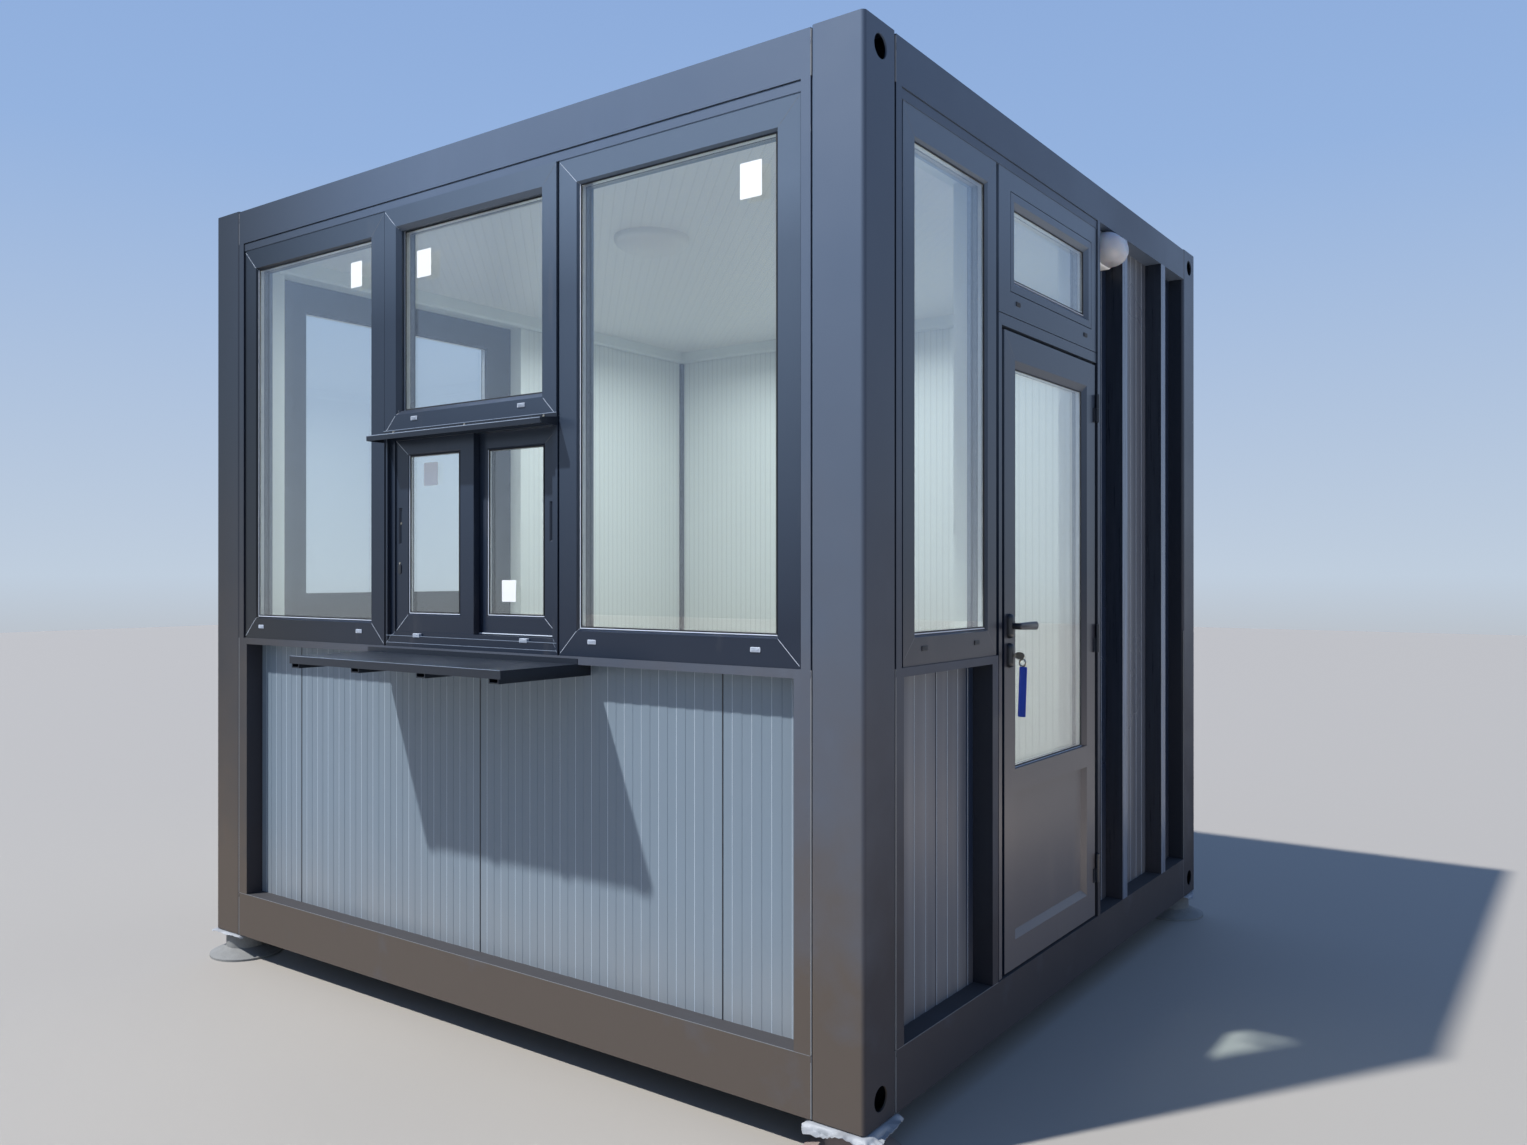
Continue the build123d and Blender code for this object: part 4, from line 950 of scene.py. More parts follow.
class BOOTH_OT_panel_ribs(bpy.types.Operator):
    """Raised bands on the outside of the wall boards, pale painted highlight strips along one edge of each
    band, and the joints between the front ones
    """

    bl_idname = "booth.panel_ribs"
    bl_label = "Panel ribs"

    def execute(self, context):
        settings = context.scene.booth_pieces
        pitch, rise = settings.rib_pitch, settings.rib_height
        for look in ("panel", "side_panel"):
            for node in NODE_LOOKS[look]:
                strips, edges = [], []
                for board in solid_boxes(node):
                    wall = wall_of(board)
                    low, high = on_wall(board, wall)
                    first = low.x + pitch / 4
                    strip = block("band", (first, low.y, high.z - rise),
                                  (first + pitch / 2, high.y, high.z + rise))
                    edit(strip)
                    pick(strip, "EDGE", lambda line: run_of(line)[0] < TOUCH and run_of(line)[1] > 0.01
                         and line.verts[0].co.z > high.z)
                    ease(rise * 0.9, 1)
                    close()
                    # A pale strip along one edge of each band: a painted highlight
                    side = block("edge", (first - 1.3 * MM, low.y, high.z),
                                 (first, high.y, high.z + 0.8 * MM))
                    count = int((high.x - first) / pitch)
                    for made, piece in ((strips, strip), (edges, side)):
                        if count > 1:
                            repeat(piece, count, pitch)
                        made.append(stand_on(piece, wall))
                    if node == "front_parapet_panel":
                        joints = [block("joint", (spot - 2 * MM, low.y, high.z),
                                        (spot + 2 * MM, high.y, high.z + 1.6 * MM), 0.6 * MM, 1)
                                  for spot in BOARD_JOINTS]
                        joints = stand_on(joined("board_joints", joints), wall)
                        finish(joints, "booth", "panel_grey", "dark_cap")
                finish(joined(node + "_ribs", strips), "booth", "panel_grey", look)
                finish(joined(node + "_rib_edges", edges), "booth", "panel_grey", "rib_line")
        return {"FINISHED"}


PANE = 4 * MM
BEAD = 2.6 * MM
SPACER_WIDTH = 4 * MM
GASKET_WIDTH = 4.5 * MM
GASKET_RISE = 2.2 * MM


class BOOTH_OT_glazing(bpy.types.Operator):
    """Slim spacers and gaskets round every pane, and pale bead lines on its left and bottom edges as
    painted highlights
    """

    bl_idname = "booth.glazing"
    bl_label = "Glazing edges"

    def execute(self, context):
        for name, node, body in (("window", "glazing_spacers", "booth"), ("door", "door_spacer", "door")):
            spacers, gaskets, beads = [], [], []
            for box in solid_boxes(node):
                wall = wall_of(box)
                low, high = on_wall(box, wall)
                spacers.append(stand_on(ring("bar", low, high, SPACER_WIDTH), wall))
                face, back = high.z + PANE, low.z - PANE
                for near, far, trim in ((face, face + GASKET_RISE, BEAD), (back - GASKET_RISE, back, 0.0)):
                    gaskets.append(stand_on(ring(
                        "gasket", Vector((low.x + trim, low.y + trim, near)), Vector((high.x, high.y, far)),
                        GASKET_WIDTH, 0.6 * MM), wall))
                # Pale bead strips on the left and bottom edges only: painted highlights
                for end in ((low.x + BEAD, high.y), (high.x, low.y + BEAD)):
                    beads.append(stand_on(
                        block("bead", (low.x, low.y, face), (*end, face + BEAD), 0.5 * MM), wall))
            finish(joined(name + "_spacer_bars", spacers), body, "spacer_grey", "spacer", node)
            finish(joined(name + "_gaskets", gaskets), body, None, "rubber")
            finish(joined(name + "_beads", beads), body, "profile_anthracite", "bead")
        return {"FINISHED"}


# Corners with a mitre line: l and r for left and right, b and t for bottom and top
ALL_CORNERS = ("lb", "lt", "rb", "rt")
MITRES = {
    "front_left_frame": ALL_CORNERS, "front_right_frame": ALL_CORNERS, "front_upper_sash": ALL_CORNERS,
    "service_sash_left": ("lb", "lt"), "service_sash_right": ("rb", "rt"),
    "right_window_frame": ALL_CORNERS, "transom_sash": ALL_CORNERS, "left_window_sash": ALL_CORNERS,
    "door_leaf": ("lt", "rt"),
}


class BOOTH_OT_mitres(bpy.types.Operator):
    """Welded mitre lines across the corners of the frames and sashes, pale with a painted highlight on the
    front and duller with painted shade on the door side and at top right corners
    """

    bl_idname = "booth.mitres"
    bl_label = "Mitre lines"

    def execute(self, context):
        groups = {"booth": [], "side": [], "door": []}
        panes = [(wall_of(box), *on_wall(box, wall_of(box))) for node in NODE_LOOKS["glass"]
                 for box in solid_boxes(node)]
        for node, corners in MITRES.items():
            wall = wall_of(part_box(node))
            frame_low, frame_high = on_wall(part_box(node), wall)
            pane = next((low, high) for stood, low, high in panes
                        if stood is wall and frame_low.x < low.x and high.x < frame_high.x
                        and frame_low.y < low.y and high.y < frame_high.y)
            for corner in corners:
                outer, inner = (Vector((span["r" in corner].x, span["t" in corner].y))
                                for span in ((frame_low, frame_high), pane))
                outer = outer + (inner - outer).normalized() * (1.2 * MM)
                line = laid_line("mitre", wall, outer, inner, 1.1 * MM, node, 0.2 * MM)
                # Lines on the door wall and at top right corners take the duller seam look as painted
                # shade; the rest take the pale bead look as painted highlight
                shaded = wall is RIGHT_WALL or corner == "rt"
                key = "door" if node == "door_leaf" else "side" if shaded else "booth"
                groups[key].append(stand_on(line, wall))
        for key, lines in groups.items():
            finish(joined(key + "_mitre_lines", lines), "door" if key == "door" else "booth",
                   "profile_anthracite", "bead" if key == "booth" else "seam")
        return {"FINISHED"}


# Middles of the drain caps: along the wall, then up it
LIGHT_WEEPS = ((0.304, 1.295), (0.912, 1.295), (1.221, 1.289), (1.739, 1.289), (2.035, 1.295),
               (2.632, 1.295), (1.221, 2.017), (1.739, 2.017))
DARK_WEEPS = ((0.324, 1.295), (0.646, 1.295), (0.943, 2.339), (1.522, 2.339))
LIGHT_WEEP_NODES = ("front_left_frame", "front_right_frame", "service_frame", "front_upper_sash")
DARK_WEEP_NODES = ("right_window_frame", "door_frame")


def weep_cap(centre, wall, nodes):
    """A louvred cap over a drain slot: a rounded plate with three raised fins."""
    width, height = 33 * MM, 14 * MM
    u, z = centre
    low = min(skin_out(nodes, wall, (u + side * width / 2.2, z + up * height / 2.4))
              for side in (-1, 1) for up in (-1, 1))
    high = max(skin_out(nodes, wall, (u, z + up * height / 2.4)) for up in (-1, 1))
    cap = plate("cap", (*centre, low), (width, height), 3 * MM, high - low + 2.2 * MM, 0.7 * MM, 3)
    fins = [block("fin", (u - 0.4 * width, z + rise, high + 2.0 * MM),
                  (u + 0.4 * width, z + rise + 1.3 * MM, high + 3.6 * MM), 0.4 * MM, 1)
            for rise in (-4.4 * MM, -0.6 * MM, 3.2 * MM)]
    return stand_on(joined("cap", [cap, *fins]), wall)


class BOOTH_OT_weep_caps(bpy.types.Operator):
    """Louvred caps over the drain slots of the frames"""

    bl_idname = "booth.weep_caps"
    bl_label = "Weep caps"

    def execute(self, context):
        for name, spots, wall, nodes, look in (
                ("light_weep_caps", LIGHT_WEEPS, FRONT_WALL, LIGHT_WEEP_NODES, "cap"),
                ("dark_weep_caps", DARK_WEEPS, RIGHT_WALL, DARK_WEEP_NODES, "dark_cap")):
            caps = [weep_cap(spot, wall, nodes) for spot in spots]
            finish(joined(name, caps), "booth", None, look)
        return {"FINISHED"}


# Corners of the blank labels on the front wall, and the panes that they are on
STICKERS = (
    (0.851, 2.506, 0.915, 2.596, "front_glass"), (1.200, 2.494, 1.273, 2.586, "front_glass"),
    (2.573, 2.500, 2.646, 2.597, "front_glass"), (1.239, 1.791, 1.311, 1.868, "service_glass"),
    (1.594, 1.407, 1.659, 1.476, "service_glass"))


class BOOTH_OT_stickers(bpy.types.Operator):
    """Blank paper labels left on the panes"""

    bl_idname = "booth.stickers"
    bl_label = "Blank stickers"

    def execute(self, context):
        labels = []
        for u0, z0, u1, z1, node in STICKERS:
            centre = ((u0 + u1) / 2, (z0 + z1) / 2)
            out = skin_out((node,), FRONT_WALL, centre)
            label = plate("sticker", (*centre, out), (u1 - u0, z1 - z0), 3 * MM, 0.2 * MM, steps=3)
            labels.append(stand_on(label, FRONT_WALL))
        finish(joined("blank_stickers", labels), "booth", None, "sticker")
        return {"FINISHED"}


# Tack welds under the roof beam: distance from the post and length
ROOF_TACKS = ((0.10, 0.014), (0.31, 0.009), (0.55, 0.016), (0.79, 0.010), (1.02, 0.012), (1.30, 0.008),
              (1.49, 0.015), (1.77, 0.010), (2.03, 0.013), (2.24, 0.009), (2.47, 0.014))
RIGHT_POST_TACKS = (2.862, 2.636, 1.237, 0.255)     # Heights
LEFT_POST_TACKS = (2.862, 0.255)
TACK_REACH = 7 * MM
SEAM_HALF = 2 * MM
SEAM_RISE = 0.3 * MM


def weld_bead(wall, start, end, out, radius):
    """A short lumpy weld: overlapping flattened drops in a row, in wall measures."""
    start, end = Vector(start), Vector(end)
    count = max(1, int((end - start).length / (radius * 1.1)))
    drops = []
    for index in range(count + 1):
        spot = start.lerp(end, index / count)
        size = radius * (0.8 + 0.35 * noise.noise(Vector((spot.x * 90, spot.y * 90, 3.0))))
        drops.append(primitive(bpy.ops.mesh.primitive_uv_sphere_add, "drop", (size, size, size * 0.5),
                               segments=10, ring_count=6, radius=1.0, location=(spot.x, spot.y, out)))
    return stand_on(smooth(joined("tack", drops), 60), wall)


class BOOTH_OT_welds(bpy.types.Operator):
    """Tack welds and filled seams where the steel tubes meet, and pale painted highlight lines along the
    base beams' top edge
    """

    bl_idname = "booth.welds"
    bl_label = "Welds and seams"

    def execute(self, context):
        under, top = (corner[2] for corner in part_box("roof_beams"))
        foot_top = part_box("floor_deck")[1][2]
        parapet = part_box("front_parapet_panel")
        left, right = parapet[0][0] - LEFT, parapet[1][0] - LEFT
        z = under + 0.5 * MM
        beads = [weld_bead(wall, (u, z), (u + length, z), -0.8 * MM, radius)
                 for start, length in ROOF_TACKS
                 for wall, u, radius in ((FRONT_WALL, left + start, 2.4 * MM),
                                         (RIGHT_WALL, left + start * 0.9, 2.2 * MM))]
        beads += [weld_bead(wall, (u, z - TACK_REACH), (u, z + TACK_REACH), 0.0, 2.6 * MM)
                  for post, heights in ((right, RIGHT_POST_TACKS), (left, LEFT_POST_TACKS)) for z in heights
                  for wall, u in ((FRONT_WALL, post), (RIGHT_WALL, left))]
        finish(joined("tack_welds", beads), "booth", "steel_anthracite", "steel")
        lines = []
        for wall, span in ((FRONT_WALL, RIGHT - LEFT), (RIGHT_WALL, BACK - FRONT)):
            for u in (left - 1.2 * MM, span - left + 1.2 * MM):
                for z0, z1 in ((under, top), (FOOT, foot_top), (foot_top, parapet[1][2])):
                    seam = block("seam", (u - SEAM_HALF, z0 + MM, -4 * MM),
                                 (u + SEAM_HALF, z1 - MM, SEAM_RISE), MM)
                    lines.append(stand_on(seam, wall))
        window_low, window_high = on_wall(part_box("right_window_frame"), RIGHT_WALL)
        window_end = window_low.x - 30 * MM
        # Pale lines along the base beams' top edge: painted highlights
        for wall, u0, u1 in ((FRONT_WALL, left, right), (RIGHT_WALL, window_end, window_high.x)):
            edge = block("edge", (u0, foot_top - 1.2 * MM, -1.4 * MM),
                         (u1, foot_top + 0.4 * MM, SEAM_RISE), 0.3 * MM)
            lines.append(stand_on(edge, wall))
        finish(joined("filled_seams", lines), "booth", "steel_anthracite", "seam")
        return {"FINISHED"}


def screw(node, u, z, radius):
    """A low round screw head with a sunk middle, on the skin of a node of the front wall."""
    out = skin_out((node,), FRONT_WALL, (u, z))
    head = primitive(bpy.ops.mesh.primitive_cylinder_add, "head", vertices=16, radius=radius, depth=2 * MM,
                     location=(u, z, out + 0.6 * MM))
    edit(head)
    pick(head, "FACE", lambda face: face.normal.z > FACING)
    inset(radius * 0.3)
    inset(radius * 0.25, -0.5 * MM)
    close()
    return stand_on(head, FRONT_WALL)


# Fittings of the service window, in wall measures
SASH_SCREWS = (("service_sash_left", 1.117), ("service_sash_right", 1.837))
SASH_SCREW_HEIGHTS = (1.532, 1.668)
CAP_SCREW_INSET = 55 * MM
LATCH_PLACE = (1.117, 1.512)
TRACK_ENDS = ((1.493, 1.3025, -0.050), (1.858, 1.3055, -0.044))
# Pale lines along the service frame: painted highlights
SERVICE_LINES = (        # Start, end, width, rise
    ((1.059, 1.251), (1.094, 1.298), 1.3 * MM, 0.2 * MM),
    ((1.895, 1.251), (1.860, 1.298), 1.3 * MM, 0.2 * MM),
    ((1.066, 1.2630), (1.888, 1.2630), 1.6 * MM, 0.4 * MM),
    ((1.066, 1.2865), (1.888, 1.2865), 1.6 * MM, 0.4 * MM))


class BOOTH_OT_sash_fittings(bpy.types.Operator):
    """Screws beside the pulls, latch, a pale track rib with a painted highlight, and pale painted highlight
    strips on the lips of the drip cap and shelf and along the service frame
    """

    bl_idname = "booth.sash_fittings"
    bl_label = "Sash fittings"

    def execute(self, context):
        cap_low, cap_high = on_wall(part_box("drip_cap"), FRONT_WALL)
        shelf_low, shelf_high = on_wall(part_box("service_shelf"), FRONT_WALL)
        heads = [screw(node, u, z, 3.4 * MM) for node, u in SASH_SCREWS for z in SASH_SCREW_HEIGHTS]
        cap_middle = (cap_low.x + cap_high.x) / 2
        heads += [screw("drip_cap", u, cap_high.y - 7 * MM, 4 * MM)
                  for u in (cap_low.x + CAP_SCREW_INSET, cap_middle, cap_high.x - CAP_SCREW_INSET)]
        finish(joined("small_screws", heads), "booth", None, "nickel")
        u, z = LATCH_PLACE
        out = skin_out(("service_sash_left",), FRONT_WALL, (u, z + 33 * MM))
        latch = plate("latch", (u, z, out), (16 * MM, 30 * MM), 3 * MM, 3 * MM, MM, 4)
        finish(stand_on(latch, FRONT_WALL), "booth", "handle_black", "black_plastic")
        # The track rib is pale as a painted highlight
        track = block("track", *TRACK_ENDS, 0.8 * MM)
        finish(stand_on(track, FRONT_WALL), "booth", "profile_anthracite", "bead")
        # Pale strips on the lips of the drip cap and shelf: painted highlights
        lips = [
            block("lip", (cap_low.x + MM, cap_low.y + 15.5 * MM, cap_high.z - MM),
                  (cap_high.x - MM, cap_low.y + 18.3 * MM, cap_high.z + 0.6 * MM), 0.6 * MM),
            block("lip", (cap_low.x + MM, cap_high.y - 2 * MM, 0.2 * MM),
                  (cap_high.x - MM, cap_high.y + 0.2 * MM, 2.6 * MM), 0.5 * MM),
            block("lip", (shelf_low.x + 2 * MM, shelf_high.y - 18 * MM, shelf_high.z - 2.2 * MM),
                  (shelf_high.x - 2 * MM, shelf_high.y - 15 * MM, shelf_high.z - 0.2 * MM), 0.6 * MM)]
        lips += [laid_line("line", FRONT_WALL, start, end, width, "service_frame", rise)
                 for start, end, width, rise in SERVICE_LINES]
        lips = [stand_on(lip, FRONT_WALL) for lip in lips]
        finish(joined("folded_lips", lips), "booth", "profile_anthracite", "edge_line")
        return {"FINISHED"}


TAG_LENGTH = 152 * MM
TAG_WIDTH = 22 * MM
BOW_OUT = 26 * MM        # From the lock's face to the middle of the key's bow
RING_OUT = 36 * MM       # From the lock's face to the ring and the tag's top
RING_DROP = 21 * MM      # From the key down to the ring's middle
TAG_DROP = 34 * MM       # From the key down to the tag's top


class BOOTH_OT_key(bpy.types.Operator):
    """Key in the lock, its ring and a plain blue tag"""

    bl_idname = "booth.key"
    bl_label = "Key and tag"

    def execute(self, context):
        low, high = on_wall(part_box("lock_cylinder"), RIGHT_WALL)
        (u, z), face = outline(low, high)[0], high.z
        blade = block("blade", (u - 1.2 * MM, z - 4 * MM, face),
                      (u + 1.2 * MM, z + 4 * MM, face + 14 * MM), 0.5 * MM)
        bow = primitive(bpy.ops.mesh.primitive_cylinder_add, "bow", vertices=36, radius=12 * MM,
                        depth=3.2 * MM, location=(u, z, face + BOW_OUT), rotation=(0, pi / 2, 0))
        edit(bow)
        pick_all()
        bpy.ops.transform.resize(value=(1.0, 0.95, 1.4), center_override=(u, z, face + BOW_OUT))
        pick(bow, "FACE", lambda side: abs(side.normal.x) > FACING)
        inset(2 * MM, each=True)
        inset(0.5 * MM, -0.6 * MM, each=True)
        close()
        loop = primitive(bpy.ops.mesh.primitive_torus_add, "loop", major_radius=11 * MM,
                         minor_radius=2.6 * MM, major_segments=36, minor_segments=10,
                         location=(u, z - RING_DROP, face + RING_OUT), rotation=(0, radians(78), 0))
        key = smooth(joined("door_key_and_ring", [blade, bow, loop]), 40)
        finish(stand_on(key, RIGHT_WALL), "door", "threshold_metal", "nickel", "door_key")
        tag = plate("blue_key_tag", (0.0, 0.0, 0.0), (TAG_WIDTH, TAG_LENGTH), 3 * MM, 3 * MM, 0.9 * MM, 4)
        edit(tag)
        pick(tag, "FACE", lambda side: abs(side.normal.z) > FACING)
        inset(2 * MM, each=True)
        inset(0.6 * MM, -0.4 * MM, each=True)
        close()
        turned(tag, Matrix.Translation((u, z - TAG_DROP - TAG_LENGTH / 2, face + RING_OUT))
               @ Matrix.Rotation(radians(-80), 4, "Y") @ Matrix.Rotation(radians(-2), 4, "Z"))
        finish(stand_on(tag, RIGHT_WALL), "door", "tag_blue", "tag")
        return {"FINISHED"}


LEVER_THICK = 15 * MM
ROSE_CROWN = 8 * MM
SWELL_LENGTH = 30 * MM   # How much of the lever's end swells
LEAF_MIDDLE = -30 * MM   # Out from the wall's face, between the two sides of the leaf


class BOOTH_OT_lever(bpy.types.Operator):
    """Soft-edged lever and roses on both sides of the door"""

    bl_idname = "booth.lever"
    bl_label = "Lever and roses"

    def execute(self, context):
        roses = []
        for box in solid_boxes("door_roses"):
            low, high = on_wall(box, RIGHT_WALL)
            centre, size = outline(low, high)
            rose = plate("rose", (*centre, 0.0), size, 15.9 * MM, high.z - low.z + ROSE_CROWN, 10 * MM, 12)
            outside = high.z > LEAF_MIDDLE
            shift = Matrix.Translation((0.0, 0.0, low.z if outside else high.z))
            turned(rose, shift @ Matrix.Diagonal((1.0, 1.0, 1.0 if outside else -1.0, 1.0)))
            roses.append(stand_on(rose, RIGHT_WALL))
        finish(smooth(joined("lever_roses", roses), 30), "door", "handle_black", "black_plastic",
               "door_roses")
        low, high = on_wall(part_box("handle_levers"), RIGHT_WALL)
        centre, size = outline(low, high)
        half = size[1] / 2
        levers = []
        for face, way in ((high.z, 1.0), (low.z, -1.0)):
            grip = plate("grip", (*centre, 0.0), size, half * 0.98, LEVER_THICK, 4.6 * MM)
            edit(grip)
            pick(grip, "VERT", lambda corner: corner.co.x > high.x - SWELL_LENGTH)
            bpy.ops.transform.resize(
                value=(1.4, 1.3, 1.0), center_override=(high.x - SWELL_LENGTH, centre[1] + 5 * MM, 0.0))
            close()
            neck = primitive(bpy.ops.mesh.primitive_cylinder_add, "neck", vertices=32, radius=half * 0.98,
                             depth=26 * MM, location=(low.x + half, centre[1], -12 * MM))
            edit(neck)
            pick(neck, "EDGE", level_at(-25 * MM))
            ease(2 * MM, 3)
            close()
            lever = turned(joined("lever", [grip, neck]),
                           Matrix.Translation((0.0, 0.0, face - way * LEVER_THICK))
                           @ Matrix.Diagonal((1.0, 1.0, way, 1.0)))
            levers.append(stand_on(lever, RIGHT_WALL))
        finish(smooth(joined("door_levers", levers), 40), "handle", "handle_black", "black_plastic",
               "handle_levers")
        return {"FINISHED"}


COVER_REACH = 0.94       # How much of its curve the wall lamp's cover climbs
BOWL_REACH = 0.93        # How much of its curve the ceiling lamp's bowl climbs
BOWL_RIM = 12 * MM


class BOOTH_OT_lamps(bpy.types.Operator):
    """Bulkhead lamp on the door wall and the round lamp on the ceiling"""

    bl_idname = "booth.lamps"
    bl_label = "Lamps"

    def execute(self, context):
        low, high = on_wall(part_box("wall_lamp_base"), RIGHT_WALL)
        centre, size = outline(low, high)
        base = plate("wall_lamp_housing", (*centre, low.z), size, 58 * MM, high.z - low.z, 5 * MM, 10)
        finish(smooth(stand_on(base, RIGHT_WALL)), "booth", "lamp_white", "white_plastic", "wall_lamp_base")
        low, high = on_wall(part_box("wall_lamp_cover"), RIGHT_WALL)
        size = outline(low, high)[1]
        cover = plate("wall_lamp_bowl", (*centre, low.z), size, 52 * MM, MM, steps=10)
        swell(cover, centre, size, low.z + MM, (high.z - low.z - MM) / COVER_REACH, 9, COVER_REACH, 2.4)
        finish(smooth(stand_on(cover, RIGHT_WALL), 40), "booth", "lamp_cover", "cover", "wall_lamp_cover")
        low, high = (Vector(corner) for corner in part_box("ceiling_lamp"))
        centre, size = outline(low, high)
        rim = high.z - BOWL_RIM
        bowl = primitive(bpy.ops.mesh.primitive_cylinder_add, "ceiling_lamp_bowl", vertices=64,
                         radius=size[0] / 2, depth=BOWL_RIM, location=(*centre, high.z - BOWL_RIM / 2))
        swell(bowl, centre, (size[0], size[0]), rim, (rim - low.z) / BOWL_REACH, 8, BOWL_REACH, 2.0, -1.0)
        finish(smooth(bowl, 40), "booth", "lamp_cover", "sticker", "ceiling_lamp")
        return {"FINISHED"}


SHEET_NAMES = ("front_left", "back_left", "front_right", "back_right")
SQUEEZED_HALF = 81 * MM  # Half the width that the post's foot holds flat
RIM_REACH = 20 * MM      # Past the foot, where the rim hangs free
SHEET_LIMIT = 133 * MM   # The sheet stays this near its post's middle


def crumpled_sheet(name, centre, size, seed):
    """A square sheet squeezed under a post, whose free rim droops in pleats down the pad."""
    deselect()
    bpy.ops.mesh.primitive_grid_add(x_subdivisions=48, y_subdivisions=48, size=size, location=(0, 0, 0))
    sheet = bpy.context.object
    sheet.name = name
    turn = Matrix.Rotation(radians(3.0 + 5.0 * seed), 3, "Z")
    for vertex in sheet.data.vertices:
        flat = turn @ vertex.co
        bearing = atan2(flat.y, flat.x)
        past = max(0.0, max(abs(flat.x), abs(flat.y)) - SQUEEZED_HALF)
        rim = min(1.0, past / RIM_REACH)
        crumple = noise.noise(Vector((flat.x * 34, flat.y * 34, seed * 5.0))) * (0.6 + 2.6 * rim) * MM
        pleat = sin(40 * bearing + seed) * rim * 1.6 * MM
        sag = rim * rim * (9 + 6 * sin(4 * bearing + seed * 1.7) + 5 * sin(7 * bearing + seed)) * MM
        pull = 1.0 - 0.35 * past / max(flat.length, MM) * (sag / (12 * MM))
        u, v = (max(-SHEET_LIMIT, min(SHEET_LIMIT, value * pull)) for value in flat.xy)
        vertex.co = centre + Vector((u, v, min(crumple, 1.5 * MM) + pleat * rim - sag))
    wall = sheet.modifiers.new("thickness", "SOLIDIFY")
    wall.thickness = 1.2 * MM
    wall.offset = 0.0
    only(sheet)
    bpy.ops.object.modifier_apply(modifier=wall.name)
    return smooth(sheet, 50)


class BOOTH_OT_packing_sheets(bpy.types.Operator):
    """Crumpled white sheets between the pads and the posts"""

    bl_idname = "booth.packing_sheets"
    bl_label = "Packing sheets"

    def execute(self, context):
        settings = context.scene.booth_pieces
        boxes = sorted(solid_boxes("packing_sheets"), key=lambda box: (box[0].x > 0, box[0].y > 0))
        for index, (name, (low, high)) in enumerate(zip(SHEET_NAMES, boxes)):
            size = settings.near_sheet if name == "front_right" else settings.far_sheet
            sheet = crumpled_sheet("packing_sheet_" + name, (low + high) / 2, size, index)
            finish(sheet, "booth", "packing_foam", "foam", "packing_sheets")
        return {"FINISHED"}


KEY_DIRECTION = Vector((-0.308, -0.472, 0.825))
KEY_ANGLE = 1.6          # Degrees that the sun's disc spans
BOUNCE_PLACE = Vector((4.6, 0.1, 0.012))
BOUNCE_SIZE = (3.4, 6.0)
ROOM_PLACE = Vector((0.0, 0.1, 2.62))
ROOM_SIZE = 2.0
WARM_LIGHT = (1.0, 0.84, 0.70)
COOL_LIGHT = (0.90, 0.97, 1.0)
SKY_STOPS = ((0.0, (0.62, 0.61, 0.60)), (0.09, (0.70, 0.82, 0.97)), (0.38, (0.40, 0.60, 0.98)),
             (1.0, (0.17, 0.34, 0.80)))


def aim(place, target):
    """The turn that points a light from its place at a target."""
    return (target - place).to_track_quat("-Z", "Y").to_euler()


def soft_light(name, place, target, power, size, colour):
    """A tinted soft light aimed at a target."""
    bpy.ops.object.light_add(type="AREA", location=place)
    light = bpy.context.object
    light.name = name
    light.data.energy = power
    light.data.size = size
    light.data.color = colour
    light.rotation_euler = aim(place, target)
    light.visible_camera = False
    return light


def surround(strength):
    """A pale surround that turns bluer upwards and warmer below the horizon."""
    world = bpy.data.worlds.new("studio_surround")
    world.use_nodes = True
    tree = world.node_tree
    height = split(tree, put(tree, "ShaderNodeTexCoord").outputs["Generated"])["Z"]
    ramp = put(tree, "ShaderNodeValToRGB", {"Fac": spread(tree, height, low=-0.1)})
    for place, colour in SKY_STOPS[1:-1]:
        ramp.color_ramp.elements.new(place)
    for stop, (place, colour) in zip(ramp.color_ramp.elements, SKY_STOPS):
        stop.position = place
        stop.color = (*colour, 1.0)
    dress(tree, tree.nodes["Background"], {"Color": ramp.outputs["Color"], "Strength": strength})
    return world


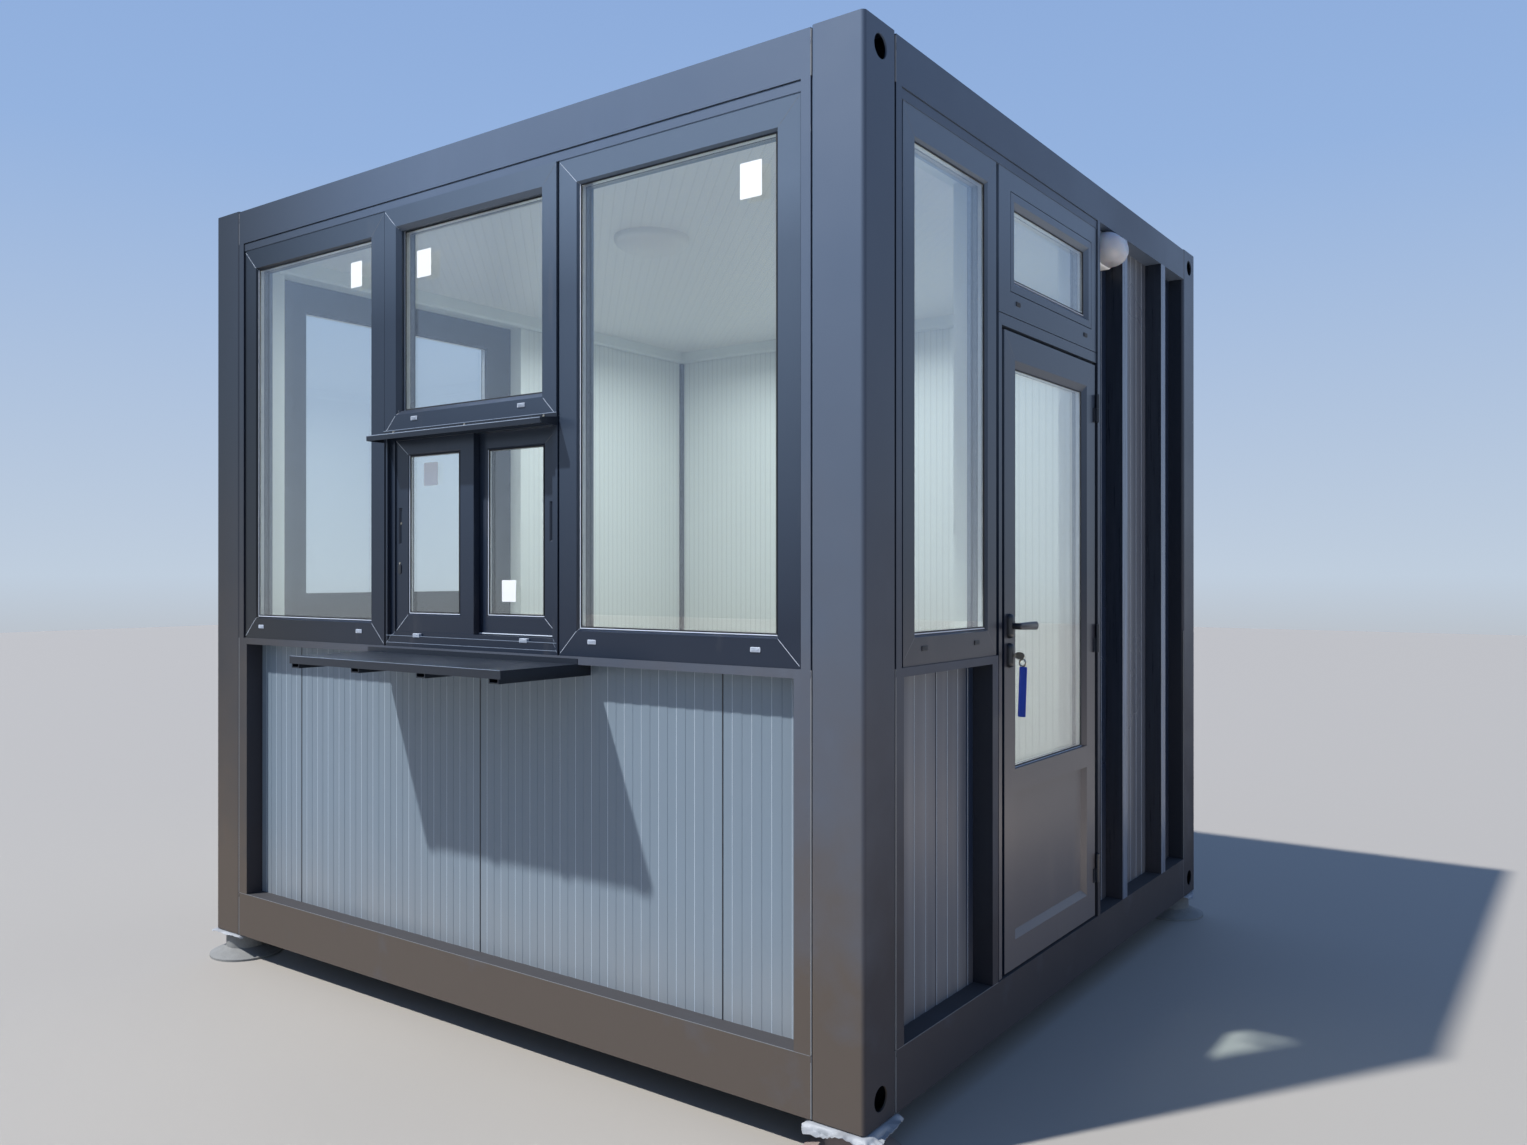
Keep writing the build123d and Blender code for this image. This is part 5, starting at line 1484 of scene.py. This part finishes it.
class BOOTH_OT_stage(bpy.types.Operator):
    """Adds the floor, the soft light and the camera"""

    bl_idname = "booth.stage"
    bl_label = "Stage"

    def execute(self, context):
        settings = context.scene.booth_stage
        deselect()
        bpy.ops.mesh.primitive_plane_add(size=60.0, location=(0.0, 0.0, 0.0))
        floor = context.object
        floor.name = "studio_floor"
        paint = shade(fresh("floor_paint")[0], {
            "Base Color": (*settings.floor_colour, 1.0), "Roughness": 0.75})
        floor.data.materials.append(paint)
        bpy.ops.object.light_add(type="SUN", location=(-3.4, -6.5, 9.8))
        key = context.object
        key.name = "key_light"
        key.data.energy = settings.key_strength
        key.data.angle = radians(KEY_ANGLE)
        key.rotation_euler = aim(KEY_DIRECTION, Vector((0.0, 0.0, 0.0)))
        above = Vector((BOUNCE_PLACE.x, BOUNCE_PLACE.y, 1.0))
        width, length = BOUNCE_SIZE
        bounce = soft_light("ground_bounce", BOUNCE_PLACE, above, settings.fill_power, width, WARM_LIGHT)
        bounce.data.shape = "RECTANGLE"
        bounce.data.size_y = length
        below = Vector((ROOM_PLACE.x, ROOM_PLACE.y, 0.0))
        room = soft_light("room_light", ROOM_PLACE, below, settings.room_power, ROOM_SIZE, COOL_LIGHT)
        room.visible_glossy = room.visible_transmission = False
        bpy.ops.object.camera_add(location=CAMERA_PLACE)
        camera = context.object
        camera.name = "photo_camera"
        camera.rotation_euler = Euler((radians(90.0 + CAMERA_PITCH), 0.0, radians(CAMERA_YAW)))
        camera.data.sensor_width = SENSOR
        camera.data.lens = FOCAL_PIXELS / PHOTO_WIDTH * SENSOR
        context.scene.camera = camera
        context.scene.world = surround(settings.sky_strength)
        context.scene.view_settings.view_transform = "Standard"
        return {"FINISHED"}


STEPS = (
    BOOTH_OT_finishes, BOOTH_OT_panel_ribs, BOOTH_OT_glazing, BOOTH_OT_mitres, BOOTH_OT_weep_caps,
    BOOTH_OT_stickers, BOOTH_OT_welds, BOOTH_OT_sash_fittings, BOOTH_OT_lever, BOOTH_OT_key,
    BOOTH_OT_lamps, BOOTH_OT_packing_sheets, BOOTH_OT_stage)


class BOOTH_PT_sidebar(bpy.types.Panel):
    """Lists the booth's steps in the sidebar"""

    bl_idname = "BOOTH_PT_sidebar"
    bl_label = "Guard booth"
    bl_space_type = "VIEW_3D"
    bl_region_type = "UI"
    bl_category = "Booth"

    def draw(self, context):
        for settings in (context.scene.booth_finish, context.scene.booth_pieces, context.scene.booth_stage):
            box = self.layout.box()
            for name in settings.__annotations__:
                box.prop(settings, name)
        for step in STEPS:
            self.layout.operator(step.bl_idname)


CLASSES = (BoothFinishSettings, BoothPieceSettings, BoothStageSettings, *STEPS, BOOTH_PT_sidebar)


def register():
    for made in CLASSES:
        bpy.utils.register_class(made)
    bpy.types.Scene.booth_finish = bpy.props.PointerProperty(type=BoothFinishSettings)
    bpy.types.Scene.booth_pieces = bpy.props.PointerProperty(type=BoothPieceSettings)
    bpy.types.Scene.booth_stage = bpy.props.PointerProperty(type=BoothStageSettings)


def unregister():
    del bpy.types.Scene.booth_stage
    del bpy.types.Scene.booth_pieces
    del bpy.types.Scene.booth_finish
    for made in reversed(CLASSES):
        bpy.utils.unregister_class(made)


def main():
    register()
    for step in STEPS:
        part, name = step.bl_idname.split(".")
        getattr(getattr(bpy.ops, part), name)()


if __name__ == "__main__":
    main()
